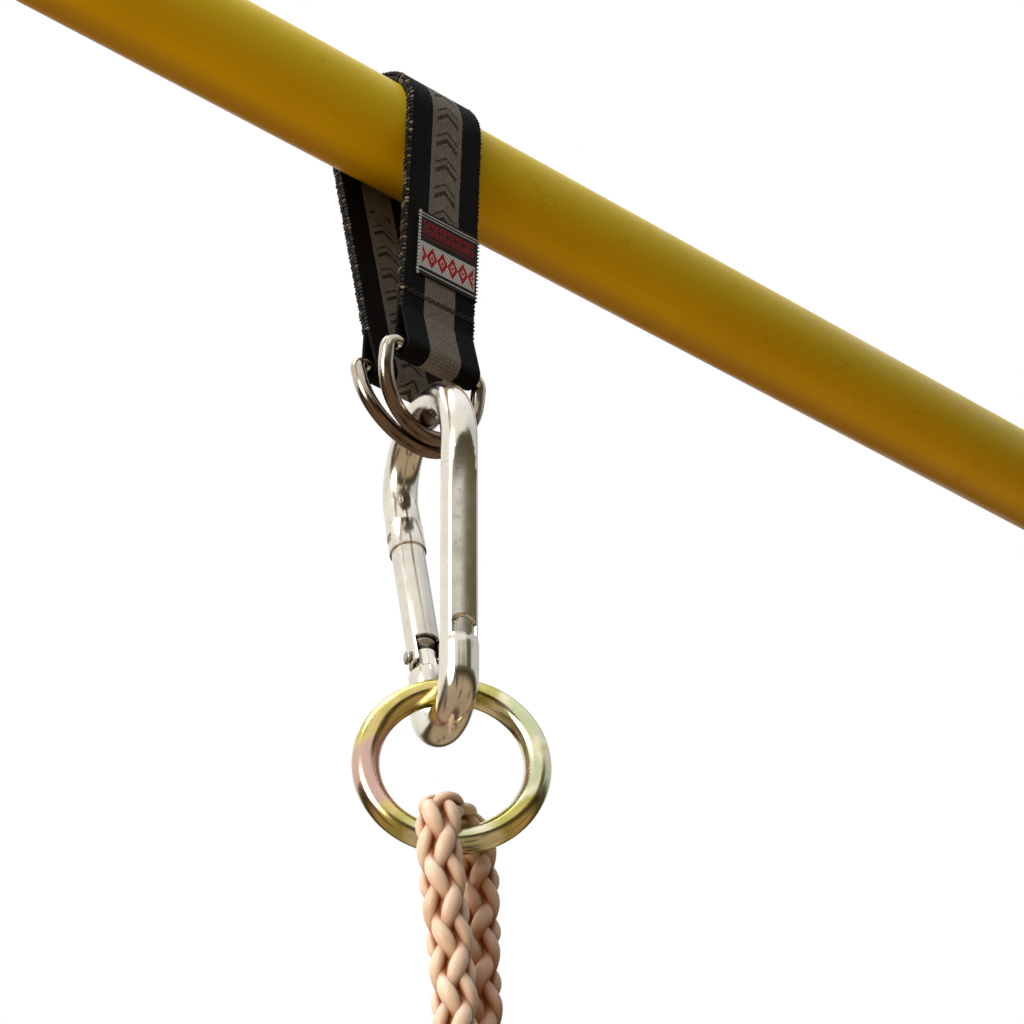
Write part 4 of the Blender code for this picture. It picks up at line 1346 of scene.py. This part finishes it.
def round_both(distance):
    """A point at a distance round the two legs, in their level section."""
    rest = distance % once
    if rest < flat_run:
        return Vector((rest - LEG_SPACE, -TWINE_OUT))
    rest -= flat_run
    if rest < round_run:
        turn = rest / TWINE_OUT - math.pi / 2.0
        return Vector((LEG_SPACE + TWINE_OUT * math.cos(turn), TWINE_OUT * math.sin(turn)))
    rest -= round_run
    if rest < flat_run:
        return Vector((LEG_SPACE - rest, TWINE_OUT))
    rest -= flat_run
    turn = rest / TWINE_OUT + math.pi / 2.0
    return Vector((-LEG_SPACE + TWINE_OUT * math.cos(turn), TWINE_OUT * math.sin(turn)))


STEPS_A_TURN = 44
TWINE_SIDES = 8
twine_line = []
twine_steps = TURNS * STEPS_A_TURN
for index in range(twine_steps + 1):
    share = index / twine_steps
    flat_spot = round_both(once * TURNS * share)
    high = WHIP_TOP - TWINE - (WHIP_LENGTH - 2.0 * TWINE) * share
    middle = Vector((RING_MIDDLE.x, RING_MIDDLE.y, high))
    twine_line.append(middle + leg_side * flat_spot.x + leg_square * flat_spot.y)
twine_frames = turned_frames(twine_line)
twine_points = []
for index, point in enumerate(twine_line):
    one, two = twine_frames[index]
    for side_number in range(TWINE_SIDES):
        turn = 2.0 * math.pi * side_number / TWINE_SIDES
        # neighbouring turns bear on each other
        twine_points.append(point + (one * math.cos(turn) + two * math.sin(turn)) * TWINE * 1.03)
twine_turns = [index / STEPS_A_TURN for index in range(twine_steps + 1)]
twine_faces, twine_uv = skin(0, len(twine_line), TWINE_SIDES, twine_turns)
whipping = solid("twine_whipping", twine_points, twine_faces, twine_uv, body="rope")

twine, tree, shader, place = new_material("waxed_twine")
along, around_twine = own_map(tree)
plied = calc(tree, "MULTIPLY_ADD", along, 26.0, calc(tree, "MULTIPLY", around_twine, 3.0))
plied = calc(tree, "ABSOLUTE", calc(tree, "SINE", calc(tree, "MULTIPLY", plied, math.pi)))
# painted shade: the twine is painted darker in the grooves between its plies
colour = mix(tree, span(tree, plied, 0.0, 0.6), (0.22, 0.15, 0.09, 1.0), (0.60, 0.48, 0.34, 1.0))
grubby = span(tree, speckle(tree, place, 200.0, 5.0), 0.5, 0.8, 0.0, 0.35)
colour = mix(tree, grubby, colour, (0.25, 0.18, 0.12, 1.0))
feed(tree, shader, Base_Color=colour, Roughness=0.58, Normal=bump(tree, plied, 0.8, 0.0002), Sheen_Weight=0.1)
dress(whipping, twine)
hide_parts("rope_whipping")


# ---- stand: floor, light and camera ----
# The bar is 2.2 m above a plain pale floor, as on a swing frame. The light is a soft open sky with a
# low dark band of trees, taller to the front, and a warm ground, which the polished steel picks up,
# and two large soft lamps. The camera stands low at the left front and looks up.
BAR_ABOVE_FLOOR = 2.2
bpy.ops.object.select_all(action="DESELECT")
bpy.ops.mesh.primitive_grid_add(
    x_subdivisions=4, y_subdivisions=4, size=80.0, location=(0.0, 0.0, -BAR_ABOVE_FLOOR)
)
floor = bpy.context.object
floor.name = "floor"
floor_paint, tree, shader, place = new_material("pale_floor")
soft_grey = mix(tree, speckle(tree, place, 0.8, 3.0), (0.80, 0.80, 0.79, 1.0), (0.86, 0.86, 0.85, 1.0))
feed(tree, shader, Base_Color=soft_grey, Roughness=0.9)
dress(floor, floor_paint)
floor.visible_glossy = False
floor.visible_diffuse = False

studio = bpy.data.worlds.new("soft_studio")
bpy.context.scene.world = studio
studio.use_nodes = True
tree = studio.node_tree
tree.nodes.clear()
sky_way = put(tree, "ShaderNodeTexCoord").outputs["Generated"]
axes = put(tree, "ShaderNodeSeparateXYZ", {0: sky_way})
east, north, high = axes.outputs[0], axes.outputs[1], axes.outputs[2]
level = calc(
    tree,
    "SQRT",
    calc(tree, "ADD", calc(tree, "MULTIPLY", east, east), calc(tree, "MULTIPLY_ADD", north, north, 0.0001)),
)
FRONT_EAST, FRONT_NORTH = 0.242, -0.970
toward_front = calc(tree, "MULTIPLY_ADD", north, FRONT_NORTH, calc(tree, "MULTIPLY", east, FRONT_EAST))
toward_front = calc(tree, "DIVIDE", toward_front, level)
tall_trees = calc(
    tree, "MULTIPLY", span(tree, toward_front, 0.955, 0.982), span(tree, high, 0.54, 0.38)
)
leaves = speckle(tree, stretched(tree, sky_way, (1.0, 1.0, 0.35)), 9.0, 7.0, 0.7)
tree_line = calc(tree, "MULTIPLY_ADD", leaves, 0.28, 0.09)
sky_share = span(tree, calc(tree, "SUBTRACT", high, tree_line), -0.015, 0.020)
sky_share = calc(tree, "MULTIPLY", sky_share, calc(tree, "SUBTRACT", 1.0, tall_trees))
ground_share = span(tree, calc(tree, "MULTIPLY_ADD", leaves, 0.10, high), 0.045, -0.03)
toward_grey = calc(tree, "ADD", calc(tree, "MULTIPLY", east, 0.80), calc(tree, "MULTIPLY", north, -0.35))
grey_side = span(tree, toward_grey, 0.10, 0.70)
sky = mix(tree, grey_side, (1.0, 0.965, 0.90, 1.0), (0.62, 0.63, 0.64, 1.0))
sky = mix(tree, span(tree, high, 0.45, 0.95), sky, (1.12, 1.12, 1.13, 1.0))
streaks = speckle(tree, stretched(tree, sky_way, (2.2, 2.2, 0.5)), 1.7, 2.0)
ground = mix(tree, span(tree, streaks, 0.57, 0.66), (0.46, 0.345, 0.22, 1.0), (0.11, 0.05, 0.035, 1.0))
ground = mix(tree, span(tree, high, -0.30, -0.05), ground, (0.11, 0.08, 0.055, 1.0))
ground = mix(tree, span(tree, high, -0.86, -0.97), ground, (0.12, 0.07, 0.06, 1.0))
trees = mix(tree, span(tree, high, 0.02, 0.24), (0.050, 0.036, 0.022, 1.0), (0.125, 0.108, 0.055, 1.0))
surround = mix(tree, ground_share, trees, ground)
surround = mix(tree, sky_share, surround, sky)
path = put(tree, "ShaderNodeLightPath")
plain = mix(tree, path.outputs["Is Camera Ray"], surround, (1.0, 1.0, 1.0, 1.0))
# soft light falls more from the left than from the right, and a little comes up from the ground
from_right = calc(tree, "ADD", calc(tree, "MULTIPLY", east, 0.736), calc(tree, "MULTIPLY", north, -0.673))
side_light = span(tree, from_right, -0.8, 0.8, 0.85, -0.70)
side_light = calc(tree, "ADD", side_light, span(tree, high, 0.10, -0.25, 0.0, 0.15))
strength = calc(tree, "MULTIPLY_ADD", path.outputs["Is Diffuse Ray"], side_light, 1.0)
shine = put(tree, "ShaderNodeBackground", {"Color": plain, "Strength": strength})
put(tree, "ShaderNodeOutputWorld", {"Surface": shine.outputs[0]})


def soft_lamp(name, place, target, size, power, colour):
    data = bpy.data.lights.new(name, "AREA")
    data.shape = "DISK"
    data.size = size
    data.energy = power
    data.color = colour
    lamp = bpy.data.objects.new(name, data)
    bpy.context.scene.collection.objects.link(lamp)
    lamp.location = place
    lamp.rotation_euler = (Vector(target) - Vector(place)).to_track_quat("-Z", "Y").to_euler()


soft_lamp("overhead_lamp", (-0.8, 0.3, 2.0), (0.0, 0.0, -0.1), 1.6, 26.0, (1.0, 0.98, 0.95))
soft_lamp("left_lamp", (-8.0, -0.8, 1.2), (0.0, 0.0, -0.2), 4.8, 336.0, (1.0, 0.96, 0.90))

lens = bpy.data.cameras.new("camera")
lens.lens = 112.3
lens.sensor_width = 36.0
lens.clip_start = 0.05
lens.clip_end = 200.0
camera = bpy.data.objects.new("camera", lens)
bpy.context.scene.collection.objects.link(camera)
look = Vector((0.58420, 0.58338, 0.56425)).normalized()
right = Vector((0.73648, -0.67319, -0.06650)).normalized()
right = (right - look * right.dot(look)).normalized()
camera_up = right.cross(look)
stand = Matrix((right, camera_up, -look)).transposed().to_4x4()
stand.translation = Vector((-0.54210, -0.57626, -0.68734))
camera.matrix_world = stand
bpy.context.scene.camera = camera
bpy.context.scene.view_settings.view_transform = "Standard"
